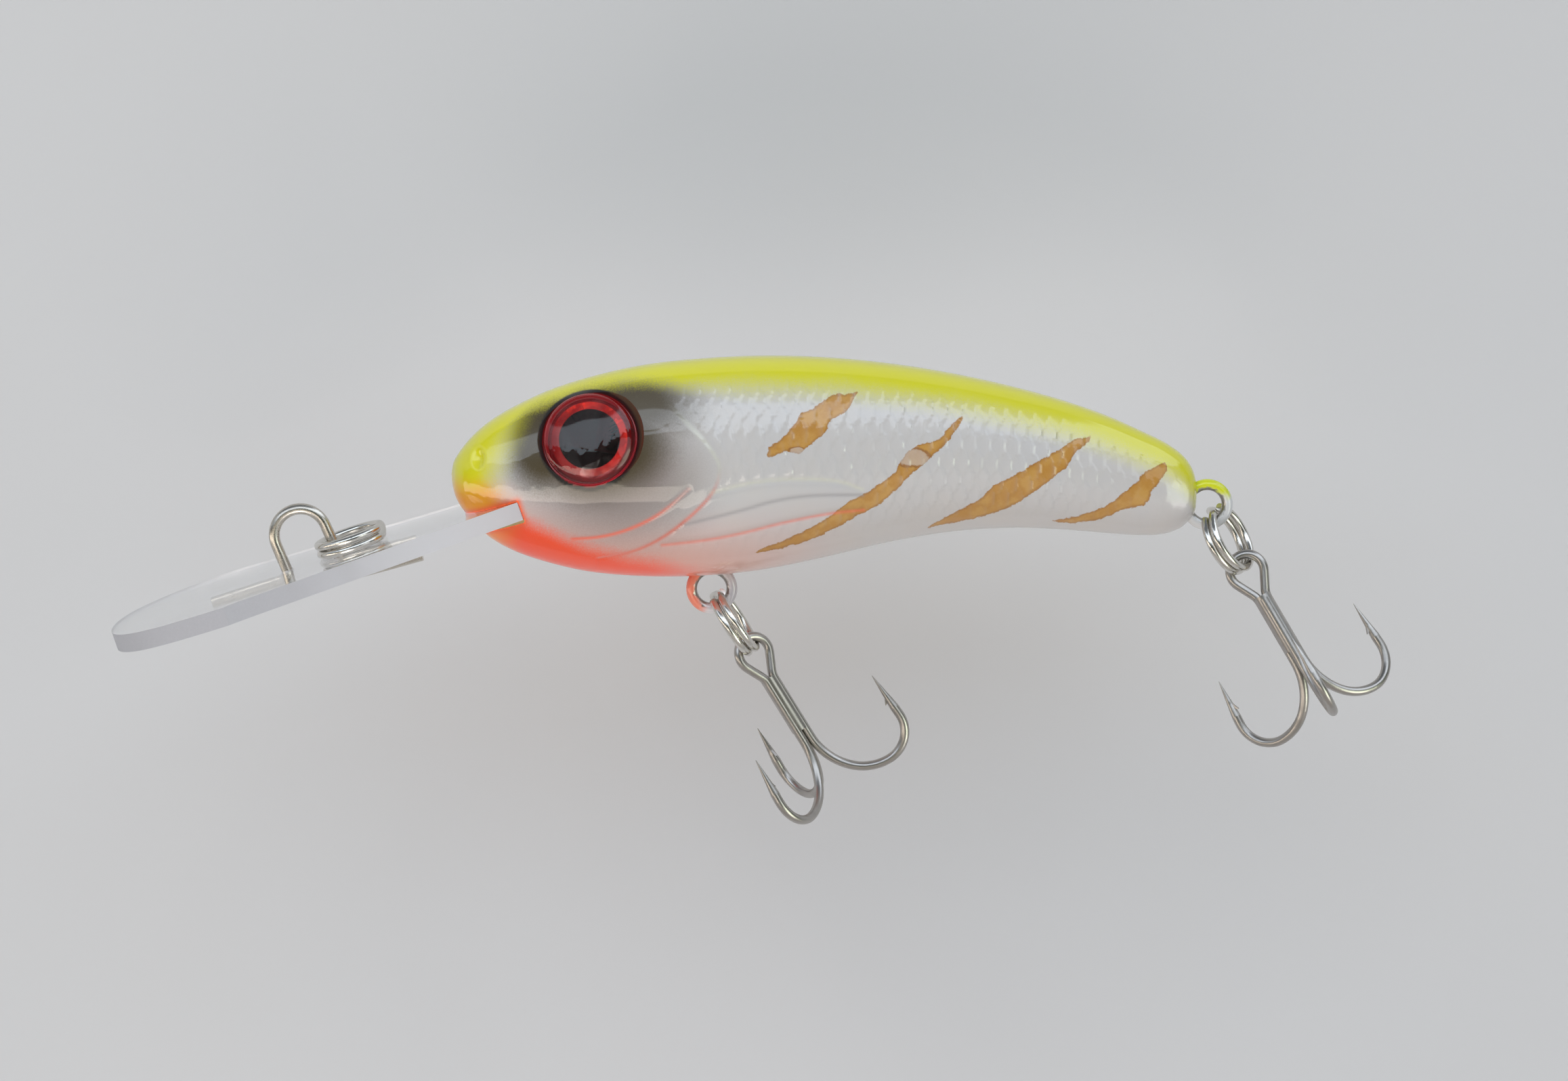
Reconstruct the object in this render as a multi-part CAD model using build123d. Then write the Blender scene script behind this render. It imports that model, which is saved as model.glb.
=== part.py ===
from build123d import *
import math
import os

# Deep-diving crankbait lure: two hollow plastic body halves with domed eyes, a clear diving bib
# glued in the mouth, a bent tow wire, three split rings, two treble hooks, ballast and rattles.
# Millimetres. The origin is the centre of the tow wire's loop, where the line pulls. +X runs from
# the nose to the tail, +Z is the lure's back and -Y its left side. The body is 80 mm long.

# ---- body halves ----
WALL = 1.6
SECTION_POWER = 2.25                      # 2 is an ellipse, more is squarer
SECTION_POINTS = 20
# x, back height, belly height, half width
STATIONS = [
    (16.2, 8.49, 6.10, 0.7), (16.6, 9.38, 4.84, 1.9), (17.3, 10.46, 3.70, 2.9),
    (18.5, 11.88, 2.40, 3.9), (20.3, 13.44, 0.75, 4.85), (23.0, 15.13, -0.67, 5.75),
    (26.5, 16.89, -1.75, 6.45), (31.0, 18.51, -2.61, 7.0), (36.5, 19.94, -2.91, 7.45),
    (42.5, 20.83, -2.67, 7.8), (49.0, 21.39, -1.84, 7.9), (56.0, 21.47, -0.19, 7.65),
    (63.0, 21.06, 1.78, 7.15), (70.0, 20.20, 3.25, 6.5), (76.5, 19.00, 3.91, 5.8),
    (82.0, 17.68, 3.93, 5.1), (86.5, 16.26, 3.73, 4.5), (90.0, 14.85, 3.62, 4.0),
    (92.7, 13.64, 3.84, 3.5), (94.6, 12.34, 4.58, 2.8), (95.6, 11.00, 5.59, 2.1),
    (96.05, 9.71, 6.29, 1.2),
]
CAVITY_FROM, CAVITY_TO = 27.8, 87.5       # the nose and the tail are solid
BODY_SPAN = 60                            # longer than the body is high or wide
UPRIGHT = (Align.CENTER, Align.CENTER, Align.MIN)

# ---- diving bib, set by the rear end of its upper face ----
BIB_PITCH = 20.5                          # degrees, rising towards the body
BIB_THICK = 2.0
BIB_REAR_X, BIB_REAR_Z = 23.5, 5.45
BIB_REAR_HALF = 6.0
BIB_SHOULDER = (-26.2, 11.4)              # distance along the bib and half width there
BIB_CURVE = [(-32.5, 13.0), (-40.9, 11.3), (-45.3, 6.6)]
BIB_LENGTH = 46.5
SLOT_ABOVE, SLOT_BELOW, SLOT_BEHIND = 0.12, 0.4, 0.25
GLUE_LENGTH = 6.5

# ---- tow wire ----
TOW_R = 0.6
LOOP_R = 2.87
FRONT_LEG_X, REAR_LEG_X = -1.41, 4.07     # where the legs enter the bib's upper face
LEG_BEND_R = 1.1
HOLE_GAP = 0.05
UNDER_GAP = 0.06
FRONT_RUN, REAR_RUN = 9.0, 8.3
REAR_RUN_DROP = 2.7                       # degrees that the rear run stands off the bib

# ---- split rings: two turns of wire, 8 mm outside ----
RING_R = 3.55
RING_WIRE_R = 0.44
RING_HALF_PITCH = 0.47                    # from the ring's middle to each turn's middle
RING_END_GAP = 20.0                       # degrees from the step between the turns to a wire's end
RING_STEP_ANGLE = 12                      # degrees between points of the ring's path
TOW_RING_LEG_GAP = 1.65                   # ring wire's centre to the leg's centre
TOW_RING_LIFT = 0.98                      # ring's middle above the bib

# ---- hook hangers: figure-eight eyelets ----
HANGER_R = 2.17
HANGER_ANCHOR_R = 1.9
HANGER_WIRE_R = 0.6
BELLY_HANGER = (44.47, -4.07)
TAIL_HANGER = (97.37, 7.2)
HANGER_BOSS = (7.2, 8.0)                  # the belly hanger's boss, long and high
PEG_R, PEG_LONG, PEG_GAP = 1.2, 5.0, 0.04
RING_SEAT = 0.86                          # ring wire's middle from the hanger's centre

# ---- treble hooks: the distances are down the shank from the eye's top ----
HOOK_WIRE_R = 0.5
SHANK_R = 2 * HOOK_WIRE_R / math.sqrt(3) + 0.012
EYE_R = 1.85
EYE_NECK = 4.9
NECK_BEND_R = 2.0
BEND_FROM = 12.85
BEND_ARCS = [(7.0, 45), (5.6, 45), (3.5, 94)]      # radius and turn, in degrees
POINT_STRAIGHT, POINT_CONE = 0.9, 4.2
POINT_TIP_R = 0.04
BARB_BACK, BARB_LONG, BARB_HIGH, BARB_THICK = 3.3, 1.1, 0.42, 0.24
BARB_ROOT = 0.3                                     # how deep the barb starts in the point
THIRD_HOOK_BELOW_NECK = 0.4
BRAZE_ABOVE_BEND = 1.2
BRAZE_R = 0.93
RING_LEAN = {"belly": 35.3, "tail": 33.6}          # degrees from straight down, towards the tail
HOOK_LEAN = {"belly": 33.5, "tail": 33.0}
HOOK_TILT = {"belly": 0.0, "tail": 12.0}           # degrees that the shank leans to the left side
HOOK_SPIN = {"belly": 210.0, "tail": 4.0}          # degrees that the eye turns about the shank
RING_TWIST = {"belly": 0.0, "tail": -23.0}         # degrees that the ring turns about the shank line
EYE_SEAT = 2.2                                      # eye wire's middle from the ring's middle

# ---- eyes ----
EYE_POS = (31.0, 5.5, 12.45)
EYE_UP, EYE_FORWARD = 20.0, 5.0                    # degrees that the eye looks up and ahead
SOCKET_R, SOCKET_RECESS = 5.5, 0.55
DOME_R, DOME_SHOULDER_R = 4.95, 4.15
DOME_BASE, DOME_SHOULDER, DOME_HIGH = 0.75, 1.75, 2.55
FOIL_THICK = 0.15
BOSS_WIDER, BOSS_LONG = 1.2, 6.0
BORE_LONG, SEAT_LONG, SEAT_GAP = 8.0, 4.0, 0.08

# ---- inside the body ----
BALLAST_R, BALLAST_X, BALLAST_Z = 2.5, (31.1, 38.4), 2.0
BALLAST_GAP = 0.05
CRADLES, CRADLE_HIGH = [32.4, 37.0], 6.0
RIB = 1.2
BALL_R = 2.5
CHAMBER_R, CHAMBER_WALL, CHAMBER_Z = 2.75, 1.0, 10.6
CHAMBERS = [(53.2, 63.4), (64.6, 74.8)]
BULKHEADS = [52.6, 64.0, 75.4]
BALL_SHOWN = 0.5                                   # how far along its chamber a ball rests


def section(station, inset=0.0):
    """One cross-section of the body, shrunk by inset."""
    x, top, bottom, half = station
    middle, high, wide = (top + bottom) / 2, (top - bottom) / 2 - inset, half - inset
    points = []
    for i in range(SECTION_POINTS):
        turn = 2 * math.pi * i / SECTION_POINTS
        c, s = math.cos(turn), math.sin(turn)
        y = wide * math.copysign(abs(c) ** (2 / SECTION_POWER), c)
        z = middle + high * math.copysign(abs(s) ** (2 / SECTION_POWER), s)
        points.append((x, y, z))
    return make_face(Spline(*points, periodic=True))


def body_form():
    """The whole outer shape of the body, with nothing cut."""
    return loft([section(s) for s in STATIONS])


def slab_x(low, high):
    """Everything between two places along the body."""
    return Pos((low + high) / 2, 0, 8) * Box(high - low, BODY_SPAN, BODY_SPAN)


def cavity_form():
    """The hollow inside the body, between the solid nose and tail."""
    inner = loft([section(s, WALL) for s in STATIONS[4:-3]])
    return inner & slab_x(CAVITY_FROM, CAVITY_TO)


# ---- bib frame: local x runs up the bib to its rear end, local z is its upper normal ----
PITCH = math.radians(BIB_PITCH)
BIB_ALONG = Vector(math.cos(PITCH), 0, math.sin(PITCH))
BIB_NORMAL = Vector(-math.sin(PITCH), 0, math.cos(PITCH))
BIB_REAR = Vector(BIB_REAR_X, 0, BIB_REAR_Z)
BIB_PLANE = Plane(origin=BIB_REAR, x_dir=BIB_ALONG, z_dir=BIB_NORMAL)


def on_bib(x, depth=0.0):
    """The point in the middle plane at a given x, depth below the bib's upper face."""
    along = (x - BIB_REAR_X) / math.cos(PITCH)
    return BIB_REAR + BIB_ALONG * along - BIB_NORMAL * depth


def bib_block(s_low, s_high, half, above, below):
    """A block in the bib's frame, from above its upper face to below its lower one."""
    high = above + BIB_THICK + below
    local = Pos((s_low + s_high) / 2, 0, above - high / 2) * Box(s_high - s_low, 2 * half, high)
    return BIB_PLANE * local


def bib_plate():
    """The clear plate: straight sides that spread from the mouth, then a round front."""
    tip = (-BIB_LENGTH, 0)
    upper = [BIB_SHOULDER, *BIB_CURVE, tip]
    lower = [(s, -y) for s, y in reversed(upper)]
    side = (BIB_SHOULDER[0], BIB_SHOULDER[1] - BIB_REAR_HALF)
    front = Spline(*upper, *lower[1:], tangents=[side, (-side[0], side[1])])
    edge = front + Polyline(lower[-1], (0, -BIB_REAR_HALF), (0, BIB_REAR_HALF), upper[0])
    plate = extrude(make_face(edge), -BIB_THICK)
    return BIB_PLANE * plate


# ---- wire helpers ----
def rounded(before, corner, after, radius):
    """A corner between two straight runs as (arc start, arc middle, arc end)."""
    back, ahead = (before - corner).normalized(), (after - corner).normalized()
    half = math.radians(back.get_angle(ahead)) / 2
    reach = radius / math.tan(half)
    middle = corner + (back + ahead).normalized() * (radius / math.sin(half) - radius)
    return corner + back * reach, middle, corner + ahead * reach


def wire_solid(path, radius):
    """A round wire along a path."""
    start = Plane(origin=path @ 0, z_dir=path % 0)
    return sweep(start * Circle(radius), path=path)


def tangent_point(outside, side):
    """Where the line from a point in the middle plane touches the tow loop."""
    distance = outside.length
    turn = math.atan2(outside.Z, outside.X) + side * math.acos(LOOP_R / distance)
    return Vector(LOOP_R * math.cos(turn), 0, LOOP_R * math.sin(turn))


def tow_legs():
    """For each leg: loop touch point, point on the bib's face, corner under the bib, run's end."""
    depth = BIB_THICK + UNDER_GAP + TOW_R
    legs = []
    rows = [(FRONT_LEG_X, -1, -FRONT_RUN, 0), (REAR_LEG_X, 1, REAR_RUN, REAR_RUN_DROP)]
    for x, side, run, drop in rows:
        face = on_bib(x)
        touch = tangent_point(face, side)
        down = (face - touch).normalized()
        corner = face + down * (depth / abs(down.dot(BIB_NORMAL)))
        lean = PITCH - math.radians(drop)
        end = corner + Vector(math.cos(lean), 0, math.sin(lean)) * run
        legs.append((touch, face, corner, end))
    return legs


def tow_path():
    """From the front run under the bib, up and round the loop, and down to the rear run."""
    front, rear = tow_legs()
    a1, a2, a3 = rounded(front[3], front[2], front[0], LEG_BEND_R)
    b1, b2, b3 = rounded(rear[0], rear[2], rear[3], LEG_BEND_R)
    edges = [
        Line(front[3], a1), ThreePointArc(a1, a2, a3), Line(a3, front[0]),
        ThreePointArc(front[0], Vector(0, 0, LOOP_R), rear[0]),
        Line(rear[0], b1), ThreePointArc(b1, b2, b3), Line(b3, rear[3]),
    ]
    return Wire(edges)


# ---- split rings ----
def split_ring():
    """A ring in its own XY plane: a flat turn below, a step up, then a flat turn above."""
    points = []
    for angle in range(0, 721, RING_STEP_ANGLE):
        if not RING_END_GAP <= angle <= 720 - RING_END_GAP:
            continue
        climb = min(1.0, max(-1.0, (angle - 360) / RING_END_GAP))
        height = RING_HALF_PITCH * math.sin(climb * math.pi / 2)
        turn = math.radians(angle)
        points.append((RING_R * math.cos(turn), RING_R * math.sin(turn), height))
    path = Spline(*points)
    return sweep(Plane(origin=path @ 0, z_dir=path % 0) * Circle(RING_WIRE_R), path=path)


def tow_ring_centre():
    """The tow ring's middle: flat on the bib, hooked round the rear leg."""
    touch, face = tow_legs()[1][:2]
    leg = (face - touch).normalized()
    out = Vector(-leg.Z, 0, leg.X)
    level = face + BIB_NORMAL * TOW_RING_LIFT
    pivot = level - BIB_ALONG * (TOW_RING_LEG_GAP / out.dot(BIB_ALONG))
    pivot += BIB_ALONG * (TOW_RING_LIFT * leg.dot(BIB_ALONG) / leg.dot(BIB_NORMAL))
    return pivot, pivot + BIB_ALONG * RING_R


# ---- hangers ----
def ring_on_y(x, z, major, minor):
    return Pos(x, 0, z) * Rot(90, 0, 0) * Rot(0, 0, 40) * Torus(major, minor)


def hanger(x, z, dx, dz, extra=0.0):
    """A figure-eight eyelet: the free ring at (x, z), its anchor ring in direction (dx, dz)."""
    reach = HANGER_R + HANGER_ANCHOR_R
    free = ring_on_y(x, z, HANGER_R, HANGER_WIRE_R + extra)
    anchor = ring_on_y(x + dx * reach, z + dz * reach, HANGER_ANCHOR_R, HANGER_WIRE_R + extra)
    return free + anchor


def peg_place(x, z, dx, dz):
    reach = HANGER_R + HANGER_ANCHOR_R
    return Pos(x + dx * reach, 0, z + dz * reach) * Rot(90, 0, 0)


HANGERS = {"belly": (*BELLY_HANGER, 0, 1), "tail": (*TAIL_HANGER, -1, 0)}


# ---- hooks, built with the eye's top at the origin and the shank down -Z ----
def hook_line(azimuth):
    """The bend of one hook in the upright plane at an azimuth, as (edges, end point, end direction)."""
    out = Vector(math.cos(math.radians(azimuth)), math.sin(math.radians(azimuth)), 0)
    down = Vector(0, 0, -1)
    shift = Vector(0, -SHANK_R / 2, 0)
    at = out * SHANK_R + down * BEND_FROM + shift
    heading, edges = 0.0, []
    for radius, turn in BEND_ARCS:
        start = math.radians(heading)
        centre = at + (out * math.cos(start) - down * math.sin(start)) * radius
        marks = []
        for share in (0.5, 1.0):
            angle = math.radians(heading + turn * share)
            marks.append(centre - (out * math.cos(angle) - down * math.sin(angle)) * radius)
        edges.append(ThreePointArc(at, *marks))
        at, heading = marks[1], heading + turn
    angle = math.radians(heading)
    ahead = down * math.cos(angle) + out * math.sin(angle)
    edges.append(Line(at, at + ahead * POINT_STRAIGHT))
    return edges, at + ahead * POINT_STRAIGHT, ahead, out


def hook_point(start, ahead, out):
    """The tapered point and the barb cut up from its inner side."""
    cone = Cone(HOOK_WIRE_R, POINT_TIP_R, POINT_CONE, align=UPRIGHT)
    point = Plane(origin=start, z_dir=ahead) * cone
    foot = start + ahead * (POINT_CONE - BARB_BACK)
    side = (-out - ahead * (-out).dot(ahead)).normalized()
    plane = Plane(origin=foot, x_dir=ahead, z_dir=ahead.cross(side))
    outline = Polyline((-BARB_LONG * 0.25, BARB_HIGH + BARB_ROOT), (BARB_LONG, 0), (0, 0), close=True)
    barb = plane * extrude(make_face(outline), BARB_THICK / 2, both=True)
    return point + barb


def double_hook():
    """One wire bent into the eye and two of the three hooks."""
    edges, end, ahead, out = hook_line(30)
    centre = Vector(0, 0, -EYE_R)
    neck = Vector(edges[0].start_point().X, 0, -EYE_NECK)
    reach = neck - centre
    turn = math.atan2(reach.Z, reach.X) + math.acos(EYE_R / reach.length)
    touch = centre + Vector(EYE_R * math.cos(turn), 0, EYE_R * math.sin(turn))
    half = (math.pi / 2 + turn) / 2
    crown = centre + Vector(EYE_R * math.cos(half), 0, EYE_R * math.sin(half))
    n1, n2, n3 = rounded(touch, neck, neck + Vector(0, 0, -4), NECK_BEND_R)
    head = [ThreePointArc((0, 0, 0), crown, touch), Line(touch, n1), ThreePointArc(n1, n2, n3),
            Line(n3, edges[0].start_point())]
    side = wire_solid(Wire([*head, *edges]), HOOK_WIRE_R) + hook_point(end, ahead, out)
    return side + mirror(side, about=Plane.YZ)


def single_hook():
    """The third hook, a plain wire brazed beside the other two."""
    edges, end, ahead, out = hook_line(270)
    top = edges[0].start_point() + Vector(0, 0, BEND_FROM - EYE_NECK - THIRD_HOOK_BELOW_NECK)
    wire = wire_solid(Wire([Line(top, edges[0].start_point()), *edges]), HOOK_WIRE_R)
    return wire + hook_point(end, ahead, out)


def braze(hooks):
    """The brazing metal in the grooves between the three wires."""
    low = BEND_FROM - BRAZE_ABOVE_BEND
    fill = Cylinder(BRAZE_R, low - EYE_NECK, align=(Align.CENTER, Align.CENTER, Align.MAX))
    fill = Pos(0, -SHANK_R / 2, -EYE_NECK) * fill
    for hook in hooks:
        fill -= hook
    return fill


def hook_places(name):
    """Where a ring and its treble rest: lean in the middle plane, then spin about the shank."""
    x, z = HANGERS[name][:2]
    lean = math.radians(RING_LEAN[name])
    down = Vector(math.sin(lean), 0, -math.cos(lean))
    hung = Vector(x, 0, z)
    ring = hung + down * (RING_SEAT + RING_R)
    eye = ring + down * EYE_SEAT
    twist = Rot(0, -RING_LEAN[name], 0) * Rot(0, 0, RING_TWIST[name])
    ring_place = Pos(*ring) * twist * Rot(0, 90, 0) * Rot(0, 0, 180)
    hang = Rot(0, -HOOK_LEAN[name], 0) * Rot(-HOOK_TILT[name], 0, 0)
    hook_place = Pos(*eye) * hang * Rot(0, 0, HOOK_SPIN[name])
    return ring_place, hook_place


# ---- eyes ----
def eye_plane(side):
    """The eye's seat on one side, -1 for the left: local z points out of the head."""
    up, ahead = math.radians(EYE_UP), math.radians(EYE_FORWARD)
    normal = Vector(-math.sin(ahead) * math.cos(up), side * math.cos(ahead) * math.cos(up), math.sin(up))
    x, y, z = EYE_POS
    return Plane(origin=(x, side * y, z), x_dir=(1, 0, 0), z_dir=normal)


def eye_dome():
    """Moulded dome with a steep rim and a flatter crown, on the socket's floor."""
    rim = Line((DOME_R, FOIL_THICK), (DOME_R, DOME_BASE))
    crown = Spline(rim @ 1, (DOME_SHOULDER_R, DOME_SHOULDER), (0, DOME_HIGH), tangents=[(0, 1), (-1, 0)])
    foot = Polyline((0, DOME_HIGH), (0, FOIL_THICK), rim @ 0)
    return revolve(Plane.XZ * make_face(rim + crown + foot), axis=Axis.Z)


# ---- body halves ----
def inner_works(outer):
    """Everything moulded inside the hollow: eye bosses, hanger boss, cradles, bulkheads, chambers."""
    works = []
    for side in (-1, 1):
        boss = Cylinder(SOCKET_R + BOSS_WIDER, BOSS_LONG, align=UPRIGHT)
        works.append(eye_plane(side) * Pos(0, 0, -SOCKET_RECESS - WALL) * boss)
    x, z = BELLY_HANGER
    long, high = HANGER_BOSS
    works.append(Pos(x, 0, z + HANGER_R + HANGER_ANCHOR_R) * Box(long, BODY_SPAN, high))
    for cradle in CRADLES:
        works.append(Pos(cradle, 0, BALLAST_Z - CRADLE_HIGH / 2) * Box(RIB, BODY_SPAN, CRADLE_HIGH))
    for bulkhead in BULKHEADS:
        works.append(Pos(bulkhead, 0, 8) * Box(RIB, BODY_SPAN, BODY_SPAN))
    low, high = CHAMBERS[0][0], CHAMBERS[-1][1]
    tube = Cylinder(CHAMBER_R + CHAMBER_WALL, high - low)
    works.append(Pos((low + high) / 2, 0, CHAMBER_Z) * Rot(0, 90, 0) * tube)
    return [outer & piece for piece in works]


def ballast(extra=0.0):
    low, high = BALLAST_X
    core = Cylinder(BALLAST_R + extra, high - low)
    return Pos((low + high) / 2, 0, BALLAST_Z) * Rot(0, 90, 0) * core


def pegs(radius):
    """The pegs that pass through the hangers' anchor rings."""
    return [peg_place(*HANGERS[n]) * Cylinder(radius, PEG_LONG) for n in HANGERS]


def body_blank():
    """Both halves as one hollow body, before it is parted."""
    outer = body_form()
    shell = outer - cavity_form()
    for piece in inner_works(outer):
        shell += piece
    for low, high in CHAMBERS:
        shell -= Pos((low + high) / 2, 0, CHAMBER_Z) * Rot(0, 90, 0) * Cylinder(CHAMBER_R, high - low)
    for side in (-1, 1):
        bore = Cylinder(SOCKET_R, BORE_LONG, align=UPRIGHT)
        seat = Cylinder(DOME_R + SEAT_GAP, SEAT_LONG, align=UPRIGHT)
        shell -= eye_plane(side) * (bore + Pos(0, 0, -SOCKET_RECESS) * seat)
    shell -= bib_block(-BIB_LENGTH, SLOT_BEHIND, BODY_SPAN / 2, SLOT_ABOVE, SLOT_BELOW)
    shell -= ballast(BALLAST_GAP)
    for name in HANGERS:
        x, z, dx, dz = HANGERS[name]
        shell -= hanger(x, z, dx, dz, HOLE_GAP)
    return outer, shell


def body_half(shell, side):
    """One half: the left carries the pegs, the right their holes."""
    half = shell & Pos(40, side * BODY_SPAN / 2, 8) * Box(4 * BODY_SPAN, BODY_SPAN, BODY_SPAN)
    for left_peg, hole in zip(pegs(PEG_R), pegs(PEG_R + PEG_GAP)):
        if side < 0:
            half += left_peg
        else:
            half -= hole
    return half


def glue_bead(outer):
    """Cured glue in the gap under the bib's rear end, kept just inside the cheeks."""
    bead = BIB_PLANE * (Pos(-GLUE_LENGTH / 2 + SLOT_BEHIND - 0.02, 0, -BIB_THICK - SLOT_BELOW / 2)
                        * Box(GLUE_LENGTH, BODY_SPAN, SLOT_BELOW - 0.03))
    return bead & outer


def rattle_ball(chamber):
    low, high = chamber
    reach = high - low - 2 * BALL_R
    x = low + BALL_R + reach * BALL_SHOWN
    return Pos(x, 0, CHAMBER_Z - (CHAMBER_R - BALL_R) + 0.05) * Sphere(BALL_R)


def main():
    os.makedirs("parts", exist_ok=True)
    outer, shell = body_blank()
    wire = wire_solid(tow_path(), TOW_R)
    plate = bib_plate() - wire_solid(tow_path(), TOW_R + HOLE_GAP)
    nodes = {
        "body_shell_left": body_half(shell, -1),
        "body_shell_right": body_half(shell, 1),
        "diving_bib": plate,
        "bib_glue_bead": glue_bead(outer),
        "tow_wire": wire,
        "belly_ballast": ballast(),
        "front_rattle_ball": rattle_ball(CHAMBERS[0]),
        "rear_rattle_ball": rattle_ball(CHAMBERS[1]),
    }
    pivot, centre = tow_ring_centre()
    nodes["tow_split_ring"] = Plane(origin=centre, x_dir=BIB_ALONG, z_dir=BIB_NORMAL) * split_ring()
    for name, side in (("left", -1), ("right", 1)):
        seat = eye_plane(side) * Pos(0, 0, -SOCKET_RECESS)
        nodes[name + "_eye_dome"] = seat * eye_dome()
        foil = Cylinder(DOME_SHOULDER_R, FOIL_THICK, align=UPRIGHT)
        nodes[name + "_eye_foil"] = seat * foil
    double, single = double_hook(), single_hook()
    filler = braze([double, single])
    for name in HANGERS:
        ring_place, hook_place = hook_places(name)
        nodes[name + "_hanger"] = hanger(*HANGERS[name])
        nodes[name + "_split_ring"] = ring_place * split_ring()
        nodes[name + "_treble_double_hook"] = hook_place * double
        nodes[name + "_treble_single_hook"] = hook_place * single
        nodes[name + "_treble_braze"] = hook_place * filler
    for node, shape in nodes.items():
        export_step(shape, f"parts/{node}.step")
    print("tow ring pivot", pivot, "centre", centre)


main()
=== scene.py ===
import bpy
import bmesh
import math
import numpy as np
from mathutils import Matrix, Vector


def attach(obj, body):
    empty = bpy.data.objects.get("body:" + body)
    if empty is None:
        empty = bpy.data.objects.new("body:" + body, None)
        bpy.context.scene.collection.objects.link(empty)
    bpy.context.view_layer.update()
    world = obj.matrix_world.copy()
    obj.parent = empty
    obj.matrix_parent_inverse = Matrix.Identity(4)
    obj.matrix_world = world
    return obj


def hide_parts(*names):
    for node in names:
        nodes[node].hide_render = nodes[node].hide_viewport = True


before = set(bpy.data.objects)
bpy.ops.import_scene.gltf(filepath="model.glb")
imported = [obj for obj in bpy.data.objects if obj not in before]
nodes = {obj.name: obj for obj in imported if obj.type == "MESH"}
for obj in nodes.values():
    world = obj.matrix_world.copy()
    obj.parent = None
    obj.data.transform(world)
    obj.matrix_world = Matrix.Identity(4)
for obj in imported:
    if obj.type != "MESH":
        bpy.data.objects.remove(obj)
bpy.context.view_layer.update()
mm = 0.001
print("frame loaded")


# meshes and outlines
def makeObject(name, mesh):
    obj = bpy.data.objects.new(name, mesh)
    bpy.context.scene.collection.objects.link(obj)
    return obj


def meshFrom(name, points, faces):
    mesh = bpy.data.meshes.new(name)
    mesh.from_pydata([tuple(p) for p in points], [], faces)
    mesh.update()
    return mesh


def smoothShade(obj, angle):
    obj.data.polygons.foreach_set("use_smooth", [True] * len(obj.data.polygons))
    obj.data.set_sharp_from_angle(angle=math.radians(angle))


def smoothStep(low, high, value):
    t = np.clip((value - low) / (high - low), 0, 1)
    return t * t * (3 - 2 * t)


def distanceTo(line, x, z, closed=False):
    # distance from each point to a bent line
    best = np.full(len(x), 1e9)
    ends = line[1:] + ([line[0]] if closed else [])
    for (ax, az), (bx, bz) in zip(line, ends):
        dx, dz = bx - ax, bz - az
        t = np.clip(((x - ax) * dx + (z - az) * dz) / (dx * dx + dz * dz + 1e-9), 0, 1)
        best = np.minimum(best, np.hypot(x - ax - t * dx, z - az - t * dz))
    return best


def insideOf(outline, x, z):
    inside = np.zeros(len(x), bool)
    for (ax, az), (bx, bz) in zip(outline, outline[1:] + outline[:1]):
        if az == bz:
            continue
        cross = ((az > z) != (bz > z)) & (x < (bx - ax) * (z - az) / (bz - az) + ax)
        inside ^= cross
    return inside


def settle(obj):
    # keeps what the modifiers make as a plain mesh
    bpy.context.view_layer.update()
    made = bpy.data.meshes.new_from_object(obj.evaluated_get(bpy.context.evaluated_depsgraph_get()))
    obj.modifiers.clear()
    obj.data = made


def softLine(points):
    # rounds a bent line by cutting its corners three times
    line = [np.array(p, float) for p in points]
    for turn in range(3):
        cut = [line[0]]
        for a, b in zip(line[:-1], line[1:]):
            cut += [a * 0.75 + b * 0.25, a * 0.25 + b * 0.75]
        line = cut + [line[-1]]
    return [tuple(p) for p in line]


def addField(mesh, name, values):
    field = mesh.attributes.get(name) or mesh.attributes.new(name, "FLOAT", "POINT")
    field.data.foreach_set("value", np.asarray(values, np.float32))


def pointsOf(mesh):
    flat = np.zeros(len(mesh.vertices) * 3, np.float32)
    mesh.vertices.foreach_get("co", flat)
    return flat.reshape(-1, 3).astype(float) / mm


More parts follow.
